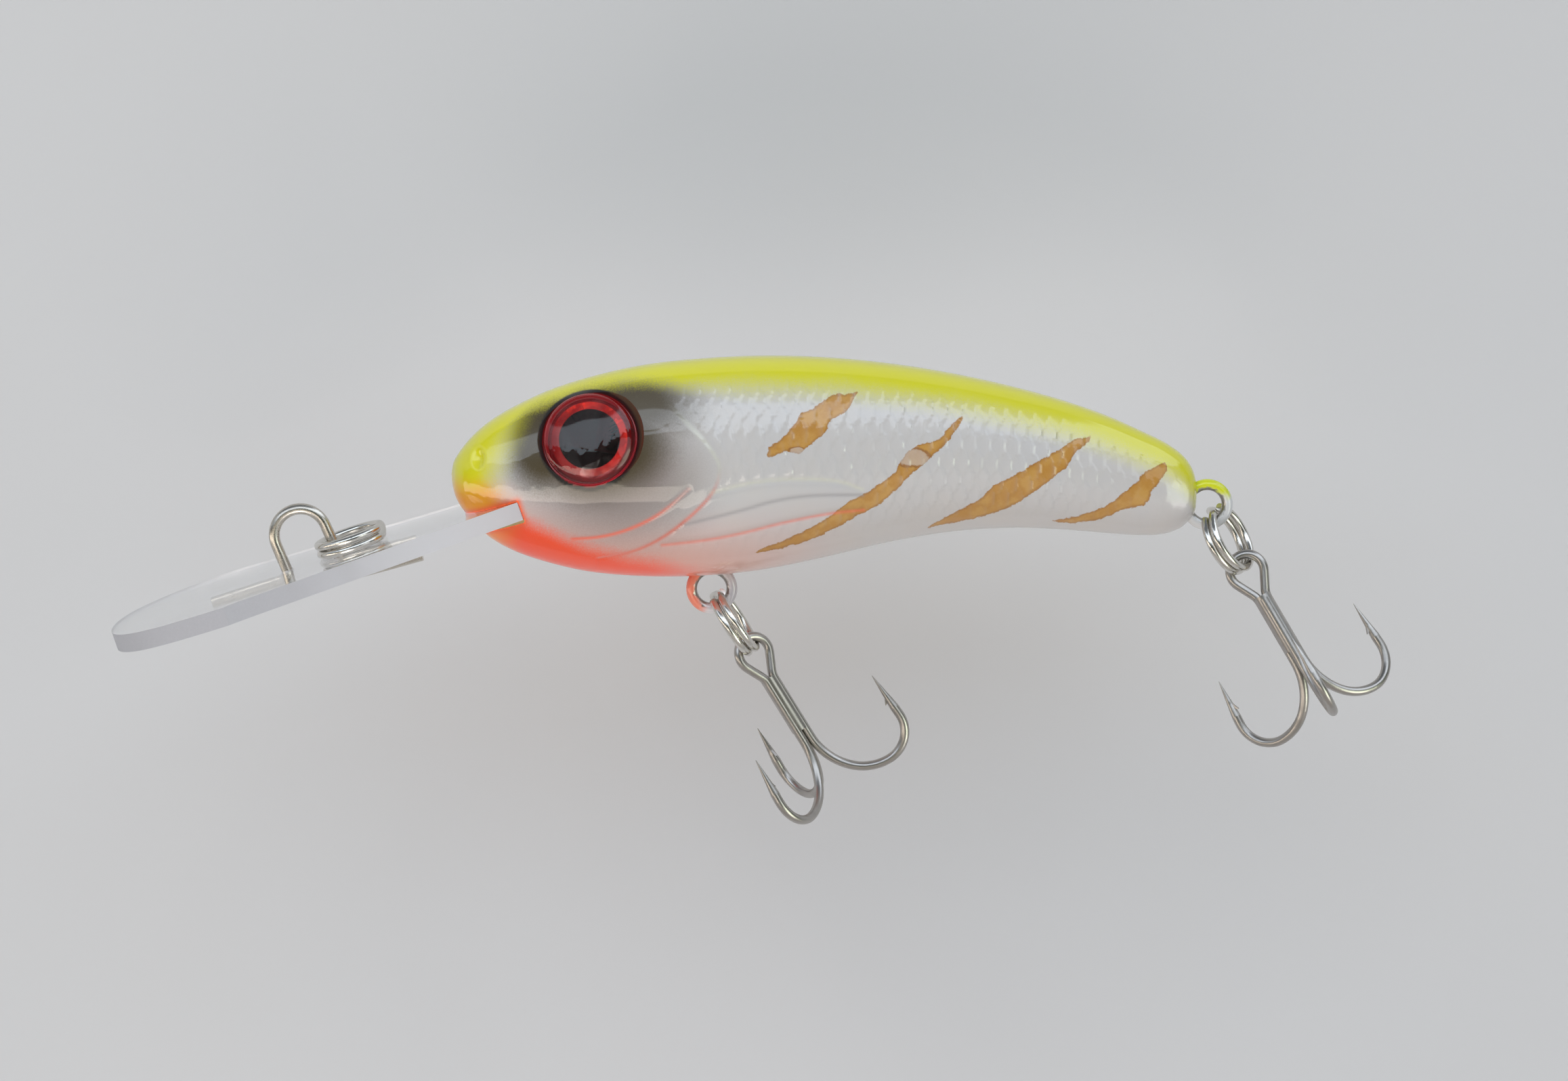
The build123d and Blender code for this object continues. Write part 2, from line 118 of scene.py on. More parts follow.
# node graphs
class Nodes:
    # keeps node graphs short to write
    def __init__(self, tree):
        self.tree = tree

    def add(self, kind, **settings):
        node = self.tree.nodes.new(kind)
        for key, value in settings.items():
            setattr(node, key, value)
        return node

    def plug(self, socket, value):
        if isinstance(value, bpy.types.NodeSocket):
            self.tree.links.new(value, socket)
        elif value is not None:
            socket.default_value = value

    def math(self, operation, *values):
        node = self.add("ShaderNodeMath", operation=operation)
        for socket, value in zip(node.inputs, values):
            self.plug(socket, value)
        return node.outputs[0]

    def plus(self, a, b):
        return self.math("ADD", a, b)

    def minus(self, a, b):
        return self.math("SUBTRACT", a, b)

    def times(self, a, b):
        return self.math("MULTIPLY", a, b)

    def over(self, a, b):
        return self.math("DIVIDE", a, b)

    def lowest(self, a, b):
        return self.math("MINIMUM", a, b)

    def highest(self, a, b):
        return self.math("MAXIMUM", a, b)

    def timesPlus(self, a, b, c):
        return self.math("MULTIPLY_ADD", a, b, c)

    def ramp(self, value, low, high, toLow=0.0, toHigh=1.0):
        node = self.add("ShaderNodeMapRange", interpolation_type="SMOOTHSTEP")
        for socket, given in zip(node.inputs, (value, low, high, toLow, toHigh)):
            self.plug(socket, given)
        return node.outputs[0]

    def mix(self, share, a, b):
        node = self.add("ShaderNodeMix", data_type="RGBA")
        self.plug(node.inputs[0], share)
        self.plug(node.inputs[6], a)
        self.plug(node.inputs[7], b)
        return node.outputs[2]

    def field(self, name):
        return self.add("ShaderNodeAttribute", attribute_name=name).outputs["Fac"]

    def coords(self):
        return self.add("ShaderNodeTexCoord").outputs["Object"]

    def place(self):
        # x and z of the point, in mm
        apart = self.add("ShaderNodeSeparateXYZ")
        self.plug(apart.inputs[0], self.coords())
        return self.over(apart.outputs[0], mm), self.over(apart.outputs[2], mm)

    def away(self, centre):
        # distance from a point, in mm
        apart = self.add("ShaderNodeVectorMath", operation="DISTANCE")
        self.plug(apart.inputs[0], self.coords())
        apart.inputs[1].default_value = centre * mm
        return self.over(apart.outputs["Value"], mm)

    def noise(self, size, detail=4.0, rough=0.5, where=None):
        # size is the width of one blotch in mm
        node = self.add("ShaderNodeTexNoise")
        self.plug(node.inputs["Vector"], where or self.coords())
        node.inputs["Scale"].default_value = 1 / (size * mm)
        node.inputs["Detail"].default_value = detail
        node.inputs["Roughness"].default_value = rough
        return node.outputs["Fac"]

    def bump(self, height, strength, depth):
        node = self.add("ShaderNodeBump")
        node.inputs["Strength"].default_value = strength
        node.inputs["Distance"].default_value = depth * mm
        self.plug(node.inputs["Height"], height)
        return node.outputs["Normal"]


def newMaterial(name):
    material = bpy.data.materials.new(name)
    material.use_nodes = True
    material.node_tree.nodes.clear()
    graph = Nodes(material.node_tree)
    shader = graph.add("ShaderNodeBsdfPrincipled")
    out = graph.add("ShaderNodeOutputMaterial")
    graph.tree.links.new(shader.outputs[0], out.inputs[0])
    return material, graph, shader, out


def rgb(r, g, b):
    return (r, g, b, 1.0)


# body shape, sizes in mm
body = {
    "power": 2.25,            # 2 is an oval section, more is squarer
    "ringStep": 0.2,          # between rings
    "around": 176,            # cells from the belly seam to the back seam
    "wall": 1.6,
    "hollow": (40.0, 87.0),
    "hollowStep": 6, "hollowAround": 24,
    "seamBand": 0.03,         # share of the flank that stays smooth beside the seam
    "endBands": (16.1, 16.6, 95.2, 95.9),
    "crease": 38,             # degrees above which an edge stays sharp
    "noseTip": (16.03, 7.3, 7.3),
    "tailTip": (96.2, 8.0, 8.0),
    # x, back, belly, half width
    "stations": [
        (16.2, 8.49, 6.10, 0.7), (16.6, 9.38, 4.84, 1.9), (17.3, 10.46, 3.70, 2.9),
        (18.5, 11.88, 2.40, 3.9), (20.3, 13.44, 0.75, 4.85), (23.0, 15.13, -0.67, 5.75),
        (26.5, 16.89, -1.75, 6.45), (31.0, 18.51, -2.61, 7.0), (36.5, 19.94, -2.91, 7.45),
        (42.5, 20.83, -2.67, 7.8), (49.0, 21.39, -1.84, 7.9), (56.0, 21.47, -0.19, 7.65),
        (63.0, 21.06, 1.78, 7.15), (70.0, 20.20, 3.25, 6.5), (76.5, 19.00, 3.91, 5.8),
        (82.0, 17.68, 3.93, 5.1), (86.5, 16.26, 3.73, 4.5), (90.0, 14.85, 3.62, 4.0),
        (92.7, 13.64, 3.84, 3.5), (94.6, 12.34, 4.58, 2.8), (95.6, 11.00, 5.59, 2.1),
        (96.05, 9.71, 6.29, 1.2),
    ],
}


def bodyRings():
    # smooth run of (x, back, belly, half width) from the nose tip to the tail tip
    rows = [(*body["noseTip"], 0.0)] + body["stations"] + [(*body["tailTip"], 0.0)]
    rows = [np.array(r, float) for r in rows]
    rows = [2 * rows[0] - rows[1]] + rows + [2 * rows[-1] - rows[-2]]
    rings = []
    for p0, p1, p2, p3 in zip(rows, rows[1:], rows[2:], rows[3:]):
        knots = [0.0]
        for a, b in ((p0, p1), (p1, p2), (p2, p3)):
            knots.append(knots[-1] + np.linalg.norm(b - a) ** 0.5)
        t0, t1, t2, t3 = knots
        count = max(2, math.ceil(max(abs(p2 - p1)) / body["ringStep"]))
        for t in np.linspace(t1, t2, count, endpoint=False):
            a1 = p0 * (t1 - t) / (t1 - t0) + p1 * (t - t0) / (t1 - t0)
            a2 = p1 * (t2 - t) / (t2 - t1) + p2 * (t - t1) / (t2 - t1)
            a3 = p2 * (t3 - t) / (t3 - t2) + p3 * (t - t2) / (t3 - t2)
            b1 = a1 * (t2 - t) / (t2 - t0) + a2 * (t - t0) / (t2 - t0)
            b2 = a2 * (t3 - t) / (t3 - t1) + a3 * (t - t1) / (t3 - t1)
            rings.append(b1 * (t2 - t) / (t2 - t1) + b2 * (t - t1) / (t2 - t1))
    rings.append(rows[-2])
    return np.array(rings)


rings = bodyRings()


def backAt(x):
    return np.interp(x, rings[:, 0], rings[:, 1])


def bellyAt(x):
    return np.interp(x, rings[:, 0], rings[:, 2])


def flankPoints(side, inset=0.0, chosen=None, around=None):
    # grid of points on one half, [ring, place from belly seam to back seam]
    used = rings if chosen is None else chosen
    turns = np.radians(np.linspace(-90, 90, (around or body["around"]) + 1))
    share = 2 / body["power"]
    across = np.abs(np.cos(turns)) ** share
    across[0] = across[-1] = 0.0
    lift = np.sign(np.sin(turns)) * np.abs(np.sin(turns)) ** share
    middle = (used[:, 1] + used[:, 2]) / 2
    high = np.maximum((used[:, 1] - used[:, 2]) / 2 - inset, 0)
    wide = np.maximum(used[:, 3] - inset, 0)
    grid = np.zeros((len(used), len(turns), 3))
    grid[:, :, 0] = used[:, 0, None]
    grid[:, :, 1] = side * wide[:, None] * across[None]
    grid[:, :, 2] = middle[:, None] + high[:, None] * lift[None]
    return grid


# moulded lines and painted shapes on the flank, x and z in mm
marks = {
    "gillEdge": [(38.3, 17.9), (40.3, 15.7), (42.4, 13.9), (44.0, 12.2), (45.1, 10.4), (44.6, 7.8),
                 (42.1, 4.9), (39.0, 2.2), (35.9, 0.5), (32.3, -0.4)],
    "jawLine": [(41.8, 7.9), (39.0, 5.1), (35.8, 3.2), (32.7, 2.1), (29.5, 1.7)],
    "finLow": [(39.1, 1.5), (44.0, 2.3), (47.9, 3.3), (51.6, 4.5), (56.9, 5.8), (60.4, 6.2)],
    "finMiddle": [(41.2, 3.9), (47.8, 5.9), (50.2, 6.8), (54.0, 7.7), (60.2, 7.9)],
    "finTop": [(44.2, 7.6), (46.3, 8.3), (49.7, 9.2), (53.9, 9.5), (57.8, 9.4), (60.1, 8.5)],
    "nostril": (19.1, 9.7),
    "stripes": [
        [(49.9, 11.7), (50.1, 12.7), (51.5, 13.7), (52.6, 15.1), (53.3, 16.3), (54.6, 16.9), (55.7, 17.7),
         (56.4, 18.3), (59.2, 18.6), (58.6, 17.3), (57.9, 16.5), (56.5, 15.8), (56.0, 14.4), (55.3, 13.8),
         (53.3, 12.1), (51.9, 12.4), (50.6, 11.7)],
        [(70.8, 16.8), (69.6, 15.9), (68.2, 14.3), (67.3, 13.8), (66.1, 13.6), (64.8, 12.8), (64.0, 11.6),
         (63.5, 10.4), (62.6, 9.6), (60.2, 7.9), (58.6, 7.1), (57.2, 5.8), (54.9, 4.1), (52.2, 2.6),
         (49.6, 1.5), (49.0, 0.9), (51.9, 1.5), (54.8, 2.6), (57.5, 4.0), (59.8, 5.6), (62.2, 6.9),
         (63.6, 8.4), (65.5, 10.5), (67.5, 12.3), (69.1, 14.0), (69.9, 15.2)],
        [(84.3, 14.7), (82.5, 14.4), (81.0, 13.3), (79.1, 12.2), (77.4, 11.2), (75.5, 10.0), (74.0, 9.2),
         (73.0, 7.9), (70.5, 6.3), (68.3, 5.0), (67.3, 4.1), (69.6, 4.7), (72.1, 5.3), (74.4, 6.1),
         (76.6, 7.2), (78.5, 8.7), (80.0, 9.9), (81.7, 11.3), (82.6, 12.9), (84.1, 14.2)],
        [(92.5, 12.1), (91.6, 11.8), (90.2, 11.0), (89.3, 9.9), (88.2, 8.9), (86.8, 7.7), (85.2, 6.8),
         (83.3, 6.0), (80.6, 5.3), (82.7, 5.0), (85.3, 5.6), (86.9, 6.2), (88.3, 7.0), (90.3, 7.4),
         (90.8, 8.0), (91.0, 8.9), (91.9, 10.1), (92.7, 11.2)],
    ],
}
relief = {
    "grooveDepth": 0.07, "grooveWidth": 0.2, "gillStep": 0.12, "gillSpread": 1.4,
    "finStep": 0.1, "finRound": 0.8,
    "nostrilDepth": 0.45, "nostrilSize": (0.55, 0.85), "nostrilRim": (0.05, 1.5, 0.5),
    "jawGroove": 0.9, "finLowGroove": 1.0, "finMiddleGroove": 0.6, "finTopGroove": 0.8,
    "lowFlank": (6.0, 12.0),              # the gill groove and the full scales fade between these heights
    "gillStepTop": (14.5, 17.5),
}
scales = {
    "pitch": 1.55, "row": 1.9, "height": 0.14,
    "long": 0.95,                         # share of the pitch that a scale's round end takes
    "curl": 2.0,                          # how late a scale rises towards its free edge
    "edge": 6.0,                          # how narrow the painted highlight and painted shade on the free edge are
    "wear": (0.5, 0.75), "wearScale": 260.0,
    "fromGill": (0.3, 1.6), "toTail": (80, 93, 0.7), "toBelly": (-0.66, -0.25), "toBack": (1.2, 3.0),
    "low": 0.3,
}
gillEdge = softLine(marks["gillEdge"])
jawLine = softLine(marks["jawLine"])
finLow, finMiddle, finTop = (softLine(marks[n]) for n in ("finLow", "finMiddle", "finTop"))
fin = finLow + finTop[::-1]


def nearLine(line, x, z, width):
    # 1 on a line, falling away over a width
    return np.exp(-(distanceTo(line, x, z) / width) ** 2)


def behindGill(x, z):
    return x - np.interp(z, [p[1] for p in gillEdge[::-1]], [p[0] for p in gillEdge[::-1]])


def lineRelief(x, z):
    # everything moulded on the flank except its scales, in mm outwards
    ahead = (behindGill(x, z) < 0) & (z < gillEdge[0][1] + 0.5)
    step = relief["gillStep"] * nearLine(gillEdge, x, z, relief["gillSpread"])
    height = np.where(ahead, step, 0.0) * (1 - smoothStep(*relief["gillStepTop"], z))
    grooves = (
        (gillEdge, 1 - smoothStep(*relief["lowFlank"], z)), (jawLine, relief["jawGroove"]),
        (finLow, relief["finLowGroove"]), (finMiddle, relief["finMiddleGroove"]),
        (finTop, relief["finTopGroove"]),
    )
    for line, depth in grooves:
        height -= depth * relief["grooveDepth"] * nearLine(line, x, z, relief["grooveWidth"])
    edge = np.minimum(distanceTo(finLow, x, z), distanceTo(finTop, x, z))
    height += np.where(insideOf(fin, x, z), relief["finStep"] * smoothStep(0, relief["finRound"], edge), 0.0)
    nx, nz = marks["nostril"]
    away = np.hypot((x - nx) / relief["nostrilSize"][0], (z - nz) / relief["nostrilSize"][1])
    height -= relief["nostrilDepth"] * np.exp(-away ** 2.5)
    rim, rimAt, rimWide = relief["nostrilRim"]
    height += rim * np.exp(-((away - rimAt) / rimWide) ** 2)
    return height


def scaleShare(x, z, lift):
    # where the scales show: behind the gill, off the fin, fading to the belly and the tail
    share = smoothStep(*scales["fromGill"], behindGill(x, z))
    tailFrom, tailTo, tailLoss = scales["toTail"]
    share *= 1 - tailLoss * smoothStep(tailFrom, tailTo, x)
    share *= smoothStep(*scales["toBelly"], lift) * smoothStep(*scales["toBack"], backAt(x) - z)
    share *= 1 - scales["low"] * (1 - smoothStep(*relief["lowFlank"], z))
    return np.where(insideOf(fin, x, z), 0.0, share)


def scaleTree():
    # scales in staggered rows, raised towards their free edge
    tree = bpy.data.node_groups.new("LureScales", "GeometryNodeTree")
    face = tree.interface
    face.new_socket("Geometry", in_out="INPUT", socket_type="NodeSocketGeometry")
    wanted = (("Scale Pitch", scales["pitch"]), ("Row Height", scales["row"]),
              ("Scale Relief", scales["height"]))
    for name, value in wanted:
        face.new_socket(name, in_out="INPUT", socket_type="NodeSocketFloat").default_value = value
    face.new_socket("Seed", in_out="INPUT", socket_type="NodeSocketInt").default_value = 4
    face.new_socket("Finish", in_out="INPUT", socket_type="NodeSocketMaterial")
    face.new_socket("Geometry", in_out="OUTPUT", socket_type="NodeSocketGeometry")
    g = Nodes(tree)
    source, sink = g.add("NodeGroupInput"), g.add("NodeGroupOutput")
    pitch, row, high = source.outputs[1], source.outputs[2], source.outputs[3]

    def stored(name):
        node = g.add("GeometryNodeInputNamedAttribute", data_type="FLOAT")
        node.inputs["Name"].default_value = name
        return node.outputs["Attribute"]

    along, girth = stored("along"), stored("girth")

    def frontOf(index):
        # where the scale that shows here starts, in one row
        offRow = g.math("ABSOLUTE", g.over(g.minus(girth, g.times(index, row)), row))
        inside = g.highest(g.minus(1.0, g.times(offRow, offRow)), 0.0)
        chord = g.times(g.math("SQRT", inside), g.times(pitch, scales["long"]))
        shift = g.times(g.math("FLOORED_MODULO", index, 2.0), g.times(pitch, 0.5))
        start = g.over(g.minus(g.minus(along, chord), shift), pitch)
        return g.plus(g.times(g.math("CEIL", start), pitch), shift)

    below = g.math("FLOOR", g.over(girth, row))
    front = g.lowest(frontOf(below), frontOf(g.plus(below, 1.0)))
    slope = g.over(g.minus(along, front), pitch)
    wear = g.add("ShaderNodeTexNoise", noise_dimensions="4D")
    wear.inputs["Scale"].default_value = scales["wearScale"]
    g.plug(wear.inputs["W"], source.outputs["Seed"])
    worn = g.timesPlus(wear.outputs[0], *scales["wear"])
    shown = g.times(stored("scaleShare"), worn)
    curl = g.times(g.math("POWER", slope, scales["curl"]), high)
    total = g.times(g.plus(g.times(curl, shown), stored("lineRelief")), mm)
    total = g.times(total, stored("offSeam"))
    normal = g.add("GeometryNodeInputNormal")
    push = g.add("ShaderNodeVectorMath", operation="SCALE")
    g.plug(push.inputs[0], normal.outputs[0])
    g.plug(push.inputs["Scale"], total)
    shape = g.add("GeometryNodeSetPosition")
    g.plug(shape.inputs["Geometry"], source.outputs[0])
    g.plug(shape.inputs["Offset"], push.outputs[0])
    # the free edge of each scale, which gets a painted highlight and, inside the stripes, painted shade
    mark = g.add("GeometryNodeStoreNamedAttribute", data_type="FLOAT", domain="POINT")
    mark.inputs["Name"].default_value = "scaleEdgeHighlightAndShade"
    g.plug(mark.inputs["Geometry"], shape.outputs[0])
    g.plug(mark.inputs["Value"], g.times(g.math("POWER", slope, scales["edge"]), shown))
    real = g.add("GeometryNodeRealizeInstances")
    g.plug(real.inputs[0], mark.outputs[0])
    dressed = g.add("GeometryNodeSetMaterial")
    g.plug(dressed.inputs["Geometry"], real.outputs[0])
    g.plug(dressed.inputs["Material"], source.outputs["Finish"])
    g.plug(sink.inputs[0], dressed.outputs[0])
    return tree


def bakeNodes(obj, tree, given):
    # runs a geometry nodes tree on obj and keeps what it makes as a plain mesh
    modifier = obj.modifiers.new("Nodes", "NODES")
    modifier.node_group = tree
    for item in tree.interface.items_tree:
        if item.in_out == "INPUT" and item.name in given:
            modifier[item.identifier] = given[item.name]
    settle(obj)


# what is cut out of each flank: mouth slot, eye socket, hollow
mouth = {
    "rear": (23.5, 0, 5.45), "pitch": 20.5,                  # the bib's upper rear edge, and how it tips
    "deep": (-2.4, 0.04), "behind": 0.08, "ahead": -20, "half": 15, "round": 0.12,
}
eyes = {
    "at": (31.0, 5.5, 12.45), "up": 20.0, "ahead": 5.0,
    "socket": [(0, -0.55), (5.03, -0.55), (5.03, -0.1), (5.12, 0.08), (5.3, 0.22), (5.55, 0.42), (5.8, 0.8),
               (6.0, 1.5), (6.05, 6.0), (0, 6.0)],
}
tilt = math.radians(mouth["pitch"])
bibAlong = Vector((math.cos(tilt), 0, math.sin(tilt)))
bibUp = Vector((-math.sin(tilt), 0, math.cos(tilt)))
bibFrame = Matrix((bibAlong, (0, 1, 0), bibUp)).transposed().to_4x4()
bibFrame.translation = Vector(mouth["rear"])


def eyeFrame(side):
    up, ahead = math.radians(eyes["up"]), math.radians(eyes["ahead"])
    look = Vector((-math.sin(ahead) * math.cos(up), side * math.cos(ahead) * math.cos(up), math.sin(up)))
    right = Vector((1, 0, 0)) - look * look.x
    right.normalize()
    made = Matrix((right, look.cross(right), look)).transposed().to_4x4()
    x, y, z = eyes["at"]
    made.translation = Vector((x, side * y, z))
    return made


def latheMesh(name, profile, place, count=128):
    # closed solid from a profile whose first and last points are on the axis
    points, faces = [place @ Vector((0, 0, profile[0][1]))], []
    rim = profile[1:-1]
    for radius, height in rim:
        for i in range(count):
            turn = 2 * math.pi * i / count
            points.append(place @ Vector((radius * math.cos(turn), radius * math.sin(turn), height)))
    points.append(place @ Vector((0, 0, profile[-1][1])))
    last = len(points) - 1
    for i in range(count):
        j = (i + 1) % count
        faces.append((0, 1 + j, 1 + i))
        for k in range(len(rim) - 1):
            a, b = 1 + k * count, 1 + (k + 1) * count
            faces.append((a + i, a + j, b + j, b + i))
        top = 1 + (len(rim) - 1) * count
        faces.append((top + i, top + j, last))
    return meshFrom(name, [p * mm for p in points], faces)


def blockMesh(name, low, high):
    # a box along the bib with slightly rounded edges
    bm = bmesh.new()
    bmesh.ops.create_cube(bm, size=1.0)
    for v in bm.verts:
        v.co = Vector([low[k] if v.co[k] < 0 else high[k] for k in range(3)])
    bmesh.ops.bevel(bm, geom=bm.edges[:], offset=mouth["round"], segments=3, affect="EDGES")
    for v in bm.verts:
        v.co = (bibFrame @ v.co) * mm
    mesh = bpy.data.meshes.new(name)
    bm.to_mesh(mesh)
    bm.free()
    return mesh


def hollowMesh():
    low, high = body["hollow"]
    chosen = rings[(rings[:, 0] > low) & (rings[:, 0] < high)][::body["hollowStep"]]
    near, far = (flankPoints(side, body["wall"], chosen, body["hollowAround"]) for side in (1, -1))
    loop = np.concatenate([near[:, :-1], far[:, ::-1][:, :-1]], axis=1)
    count, perRing = loop.shape[:2]
    faces = []
    for i in range(count - 1):
        for j in range(perRing):
            k = (j + 1) % perRing
            a, b = i * perRing, (i + 1) * perRing
            faces.append((a + j, a + k, b + k, b + j))
    faces.append(tuple(range(perRing - 1, -1, -1)))
    faces.append(tuple((count - 1) * perRing + j for j in range(perRing)))
    return meshFrom("hollow", loop.reshape(-1, 3) * mm, faces)


def cut(obj, meshes):
    # takes each closed mesh out of obj
    for mesh in meshes:
        bm = bmesh.new()
        bm.from_mesh(mesh)
        bmesh.ops.recalc_face_normals(bm, faces=bm.faces)
        bm.to_mesh(mesh)
        bm.free()
        tool = makeObject("tool", mesh)
        modifier = obj.modifiers.new("Cut", "BOOLEAN")
        modifier.operation = "DIFFERENCE"
        modifier.solver = "MANIFOLD"
        modifier.object = tool
        settle(obj)
        if len(obj.data.polygons) < 100:
            raise RuntimeError("a cut left nothing of " + obj.name)
        bpy.data.objects.remove(tool)


def buildFlank(name, side, tree, paint):
    grid = flankPoints(side)
    count, around = grid.shape[:2]
    flat = grid.reshape(-1, 3)
    faces = []
    for i in range(count - 1):
        for j in range(around - 1):
            a = i * around + j
            quad = (a, a + 1, a + around + 1, a + around)
            faces.append(quad if side > 0 else quad[::-1])
    mesh = meshFrom(name, flat * mm, faces)
    steps = np.linalg.norm(np.diff(grid, axis=1), axis=2)
    girth = np.concatenate([np.zeros((count, 1)), np.cumsum(steps, axis=1)], axis=1)
    girth -= girth[:, around // 2][:, None]
    turns = np.tile(np.linspace(-1, 1, around), count)
    x, z = flat[:, 0], flat[:, 2]
    addField(mesh, "along", x)
    addField(mesh, "girth", girth.reshape(-1))
    addField(mesh, "lineRelief", lineRelief(x, z))
    addField(mesh, "scaleShare", scaleShare(x, z, turns))
    seam = np.minimum(1, (1 - np.abs(turns)) / body["seamBand"])
    noseLow, noseHigh, tailLow, tailHigh = body["endBands"]
    ends = smoothStep(noseLow, noseHigh, x) * (1 - smoothStep(tailLow, tailHigh, x))
    addField(mesh, "offSeam", seam * ends)
    obj = makeObject(name, mesh)
    bakeNodes(obj, tree, {"Finish": paint})
    # close the half with its flat joint face
    bm = bmesh.new()
    bm.from_mesh(obj.data)
    bmesh.ops.remove_doubles(bm, verts=bm.verts, dist=1e-7)
    bmesh.ops.dissolve_degenerate(bm, edges=bm.edges, dist=1e-8)
    for v in bm.verts:
        if v.is_boundary:
            v.co.y = 0.0
    border = [e for e in bm.edges if e.is_boundary]
    bmesh.ops.triangle_fill(bm, edges=border, use_beauty=False)
    bmesh.ops.recalc_face_normals(bm, faces=bm.faces)
    bm.to_mesh(obj.data)
    bm.free()
    half, (deep, shallow) = mouth["half"], mouth["deep"]
    block = blockMesh("mouth", (mouth["ahead"], -half, deep), (mouth["behind"], half, shallow))
    socket = latheMesh("socket", eyes["socket"], eyeFrame(side))
    cut(obj, [block, socket, hollowMesh()])
    smoothShade(obj, body["crease"])
    return obj


lines = {
    "tintWide": 0.17, "gill": 0.75, "gillTop": (5.0, 10.5), "jaw": 0.75, "jawTop": (3.5, 7.9), "finLow": 0.6,
    # width and heights of the painted highlight along the gill ridge
    "ridgeWide": 0.22, "ridgeLow": (8.0, 12.0), "ridgeTop": (13.5, 17.0),
    "finMiddle": (0.5, 0.2), "finTop": (0.5, 0.22),           # strength and width of the painted shade in the middle fin groove and the painted highlight on the top fin line
    "stripeReach": 2.0, "slotReach": 0.42, "slotSkin": 0.02,
    "eyeMiddle": (31.2, 12.6), "socketRim": (5.42, 5.62), "socketFloor": (4.98, 5.08),
}


def paintFields(obj, side):
    # what the paint needs to know at each point
    co = pointsOf(obj.data)
    x, z = co[:, 0], co[:, 2]
    addField(obj.data, "backDepth", backAt(x) - z)
    addField(obj.data, "bellyDepth", z - bellyAt(x))
    ex, ez = lines["eyeMiddle"]
    addField(obj.data, "eyeGap", np.hypot(x - ex, z - ez))
    reach = lines["stripeReach"]
    nearest = np.full(len(x), reach)
    for outline in marks["stripes"]:
        gap = distanceTo(outline, x, z, closed=True)
        nearest = np.minimum(nearest, np.where(insideOf(outline, x, z), -gap, gap))
    addField(obj.data, "stripe", np.maximum(nearest, -reach))
    tint = np.zeros(len(x))
    lowGill = lines["gill"] * (1 - smoothStep(*lines["gillTop"], z))
    jawFade = 1 - lines["jaw"] * smoothStep(*lines["jawTop"], z)
    for line, strength in ((gillEdge, lowGill), (jawLine, jawFade), (finLow, lines["finLow"])):
        tint = np.maximum(tint, strength * nearLine(line, x, z, lines["tintWide"]))
    addField(obj.data, "lineTint", tint)
    # painted highlight: a pale line along the gill ridge, between these heights
    ridgeHighlight = smoothStep(*lines["ridgeLow"], z) * (1 - smoothStep(*lines["ridgeTop"], z))
    addField(obj.data, "gillRidgeHighlight", ridgeHighlight * nearLine(gillEdge, x, z, lines["ridgeWide"]))
    # painted shade: dark grey in the middle fin groove; painted highlight: pale along the top fin line
    for name, line, (strength, width) in (("finGrooveShade", finMiddle, lines["finMiddle"]),
                                          ("finTopHighlight", finTop, lines["finTop"])):
        addField(obj.data, name, strength * nearLine(line, x, z, width))
    local = (co - np.array(mouth["rear"])) @ np.array([bibAlong, (0, 1, 0), bibUp]).T
    low, high = mouth["deep"]
    skin = lines["slotSkin"]
    inSlot = (local[:, 0] < mouth["behind"] + skin) & (local[:, 2] > low - skin) & (local[:, 2] < high + skin)
    addField(obj.data, "slotMask", inSlot.astype(float))
    offX = np.maximum(local[:, 0] - mouth["behind"], 0)
    offZ = np.maximum(np.maximum(low - local[:, 2], local[:, 2] - high), 0)
    addField(obj.data, "slotEdge", np.exp(-(np.hypot(offX, offZ) / lines["slotReach"]) ** 2))
    seat = np.array(eyeFrame(side).inverted())
    near = co @ seat[:3, :3].T + seat[:3, 3]
    radius = np.hypot(near[:, 0], near[:, 1])
    for name in ("socketRim", "socketFloor"):
        addField(obj.data, name, 1 - smoothStep(*lines[name], radius))


# finishes
paint = {
    "pearl": rgb(0.575, 0.575, 0.585), "pearlWarm": rgb(0.61, 0.58, 0.55), "back": rgb(0.73, 0.70, 0.006),
    "shade": rgb(0.062, 0.045, 0.018), "cheek": rgb(0.18, 0.125, 0.105), "orange": rgb(1.0, 0.068, 0.004),
    "blush": rgb(0.86, 0.30, 0.20), "noseOrange": rgb(1.0, 0.37, 0.003), "lip": rgb(0.93, 0.12, 0.02),
    "stripe": rgb(0.50, 0.23, 0.018), "stripeLight": rgb(0.56, 0.29, 0.045),
    "stripeRim": rgb(0.26, 0.09, 0.010),
    # the groove colour is a painted shade, the ridge colour a painted highlight
    "lineRed": rgb(0.90, 0.16, 0.09), "ridgeHighlight": rgb(0.70, 0.70, 0.56), "grooveShade": rgb(0.27, 0.26, 0.27),
    "socket": rgb(0.008, 0.006, 0.006), "socketFloor": rgb(0.50, 0.004, 0.010),
    # painted highlight colour for the scales' free edges
    "scaleEdgeHighlightAndShade": rgb(0.82, 0.82, 0.80),
    "flake": rgb(1, 1, 1), "ior": 1.45, "coat": 1.0, "coatRough": 0.03, "coatIor": 1.55,
}
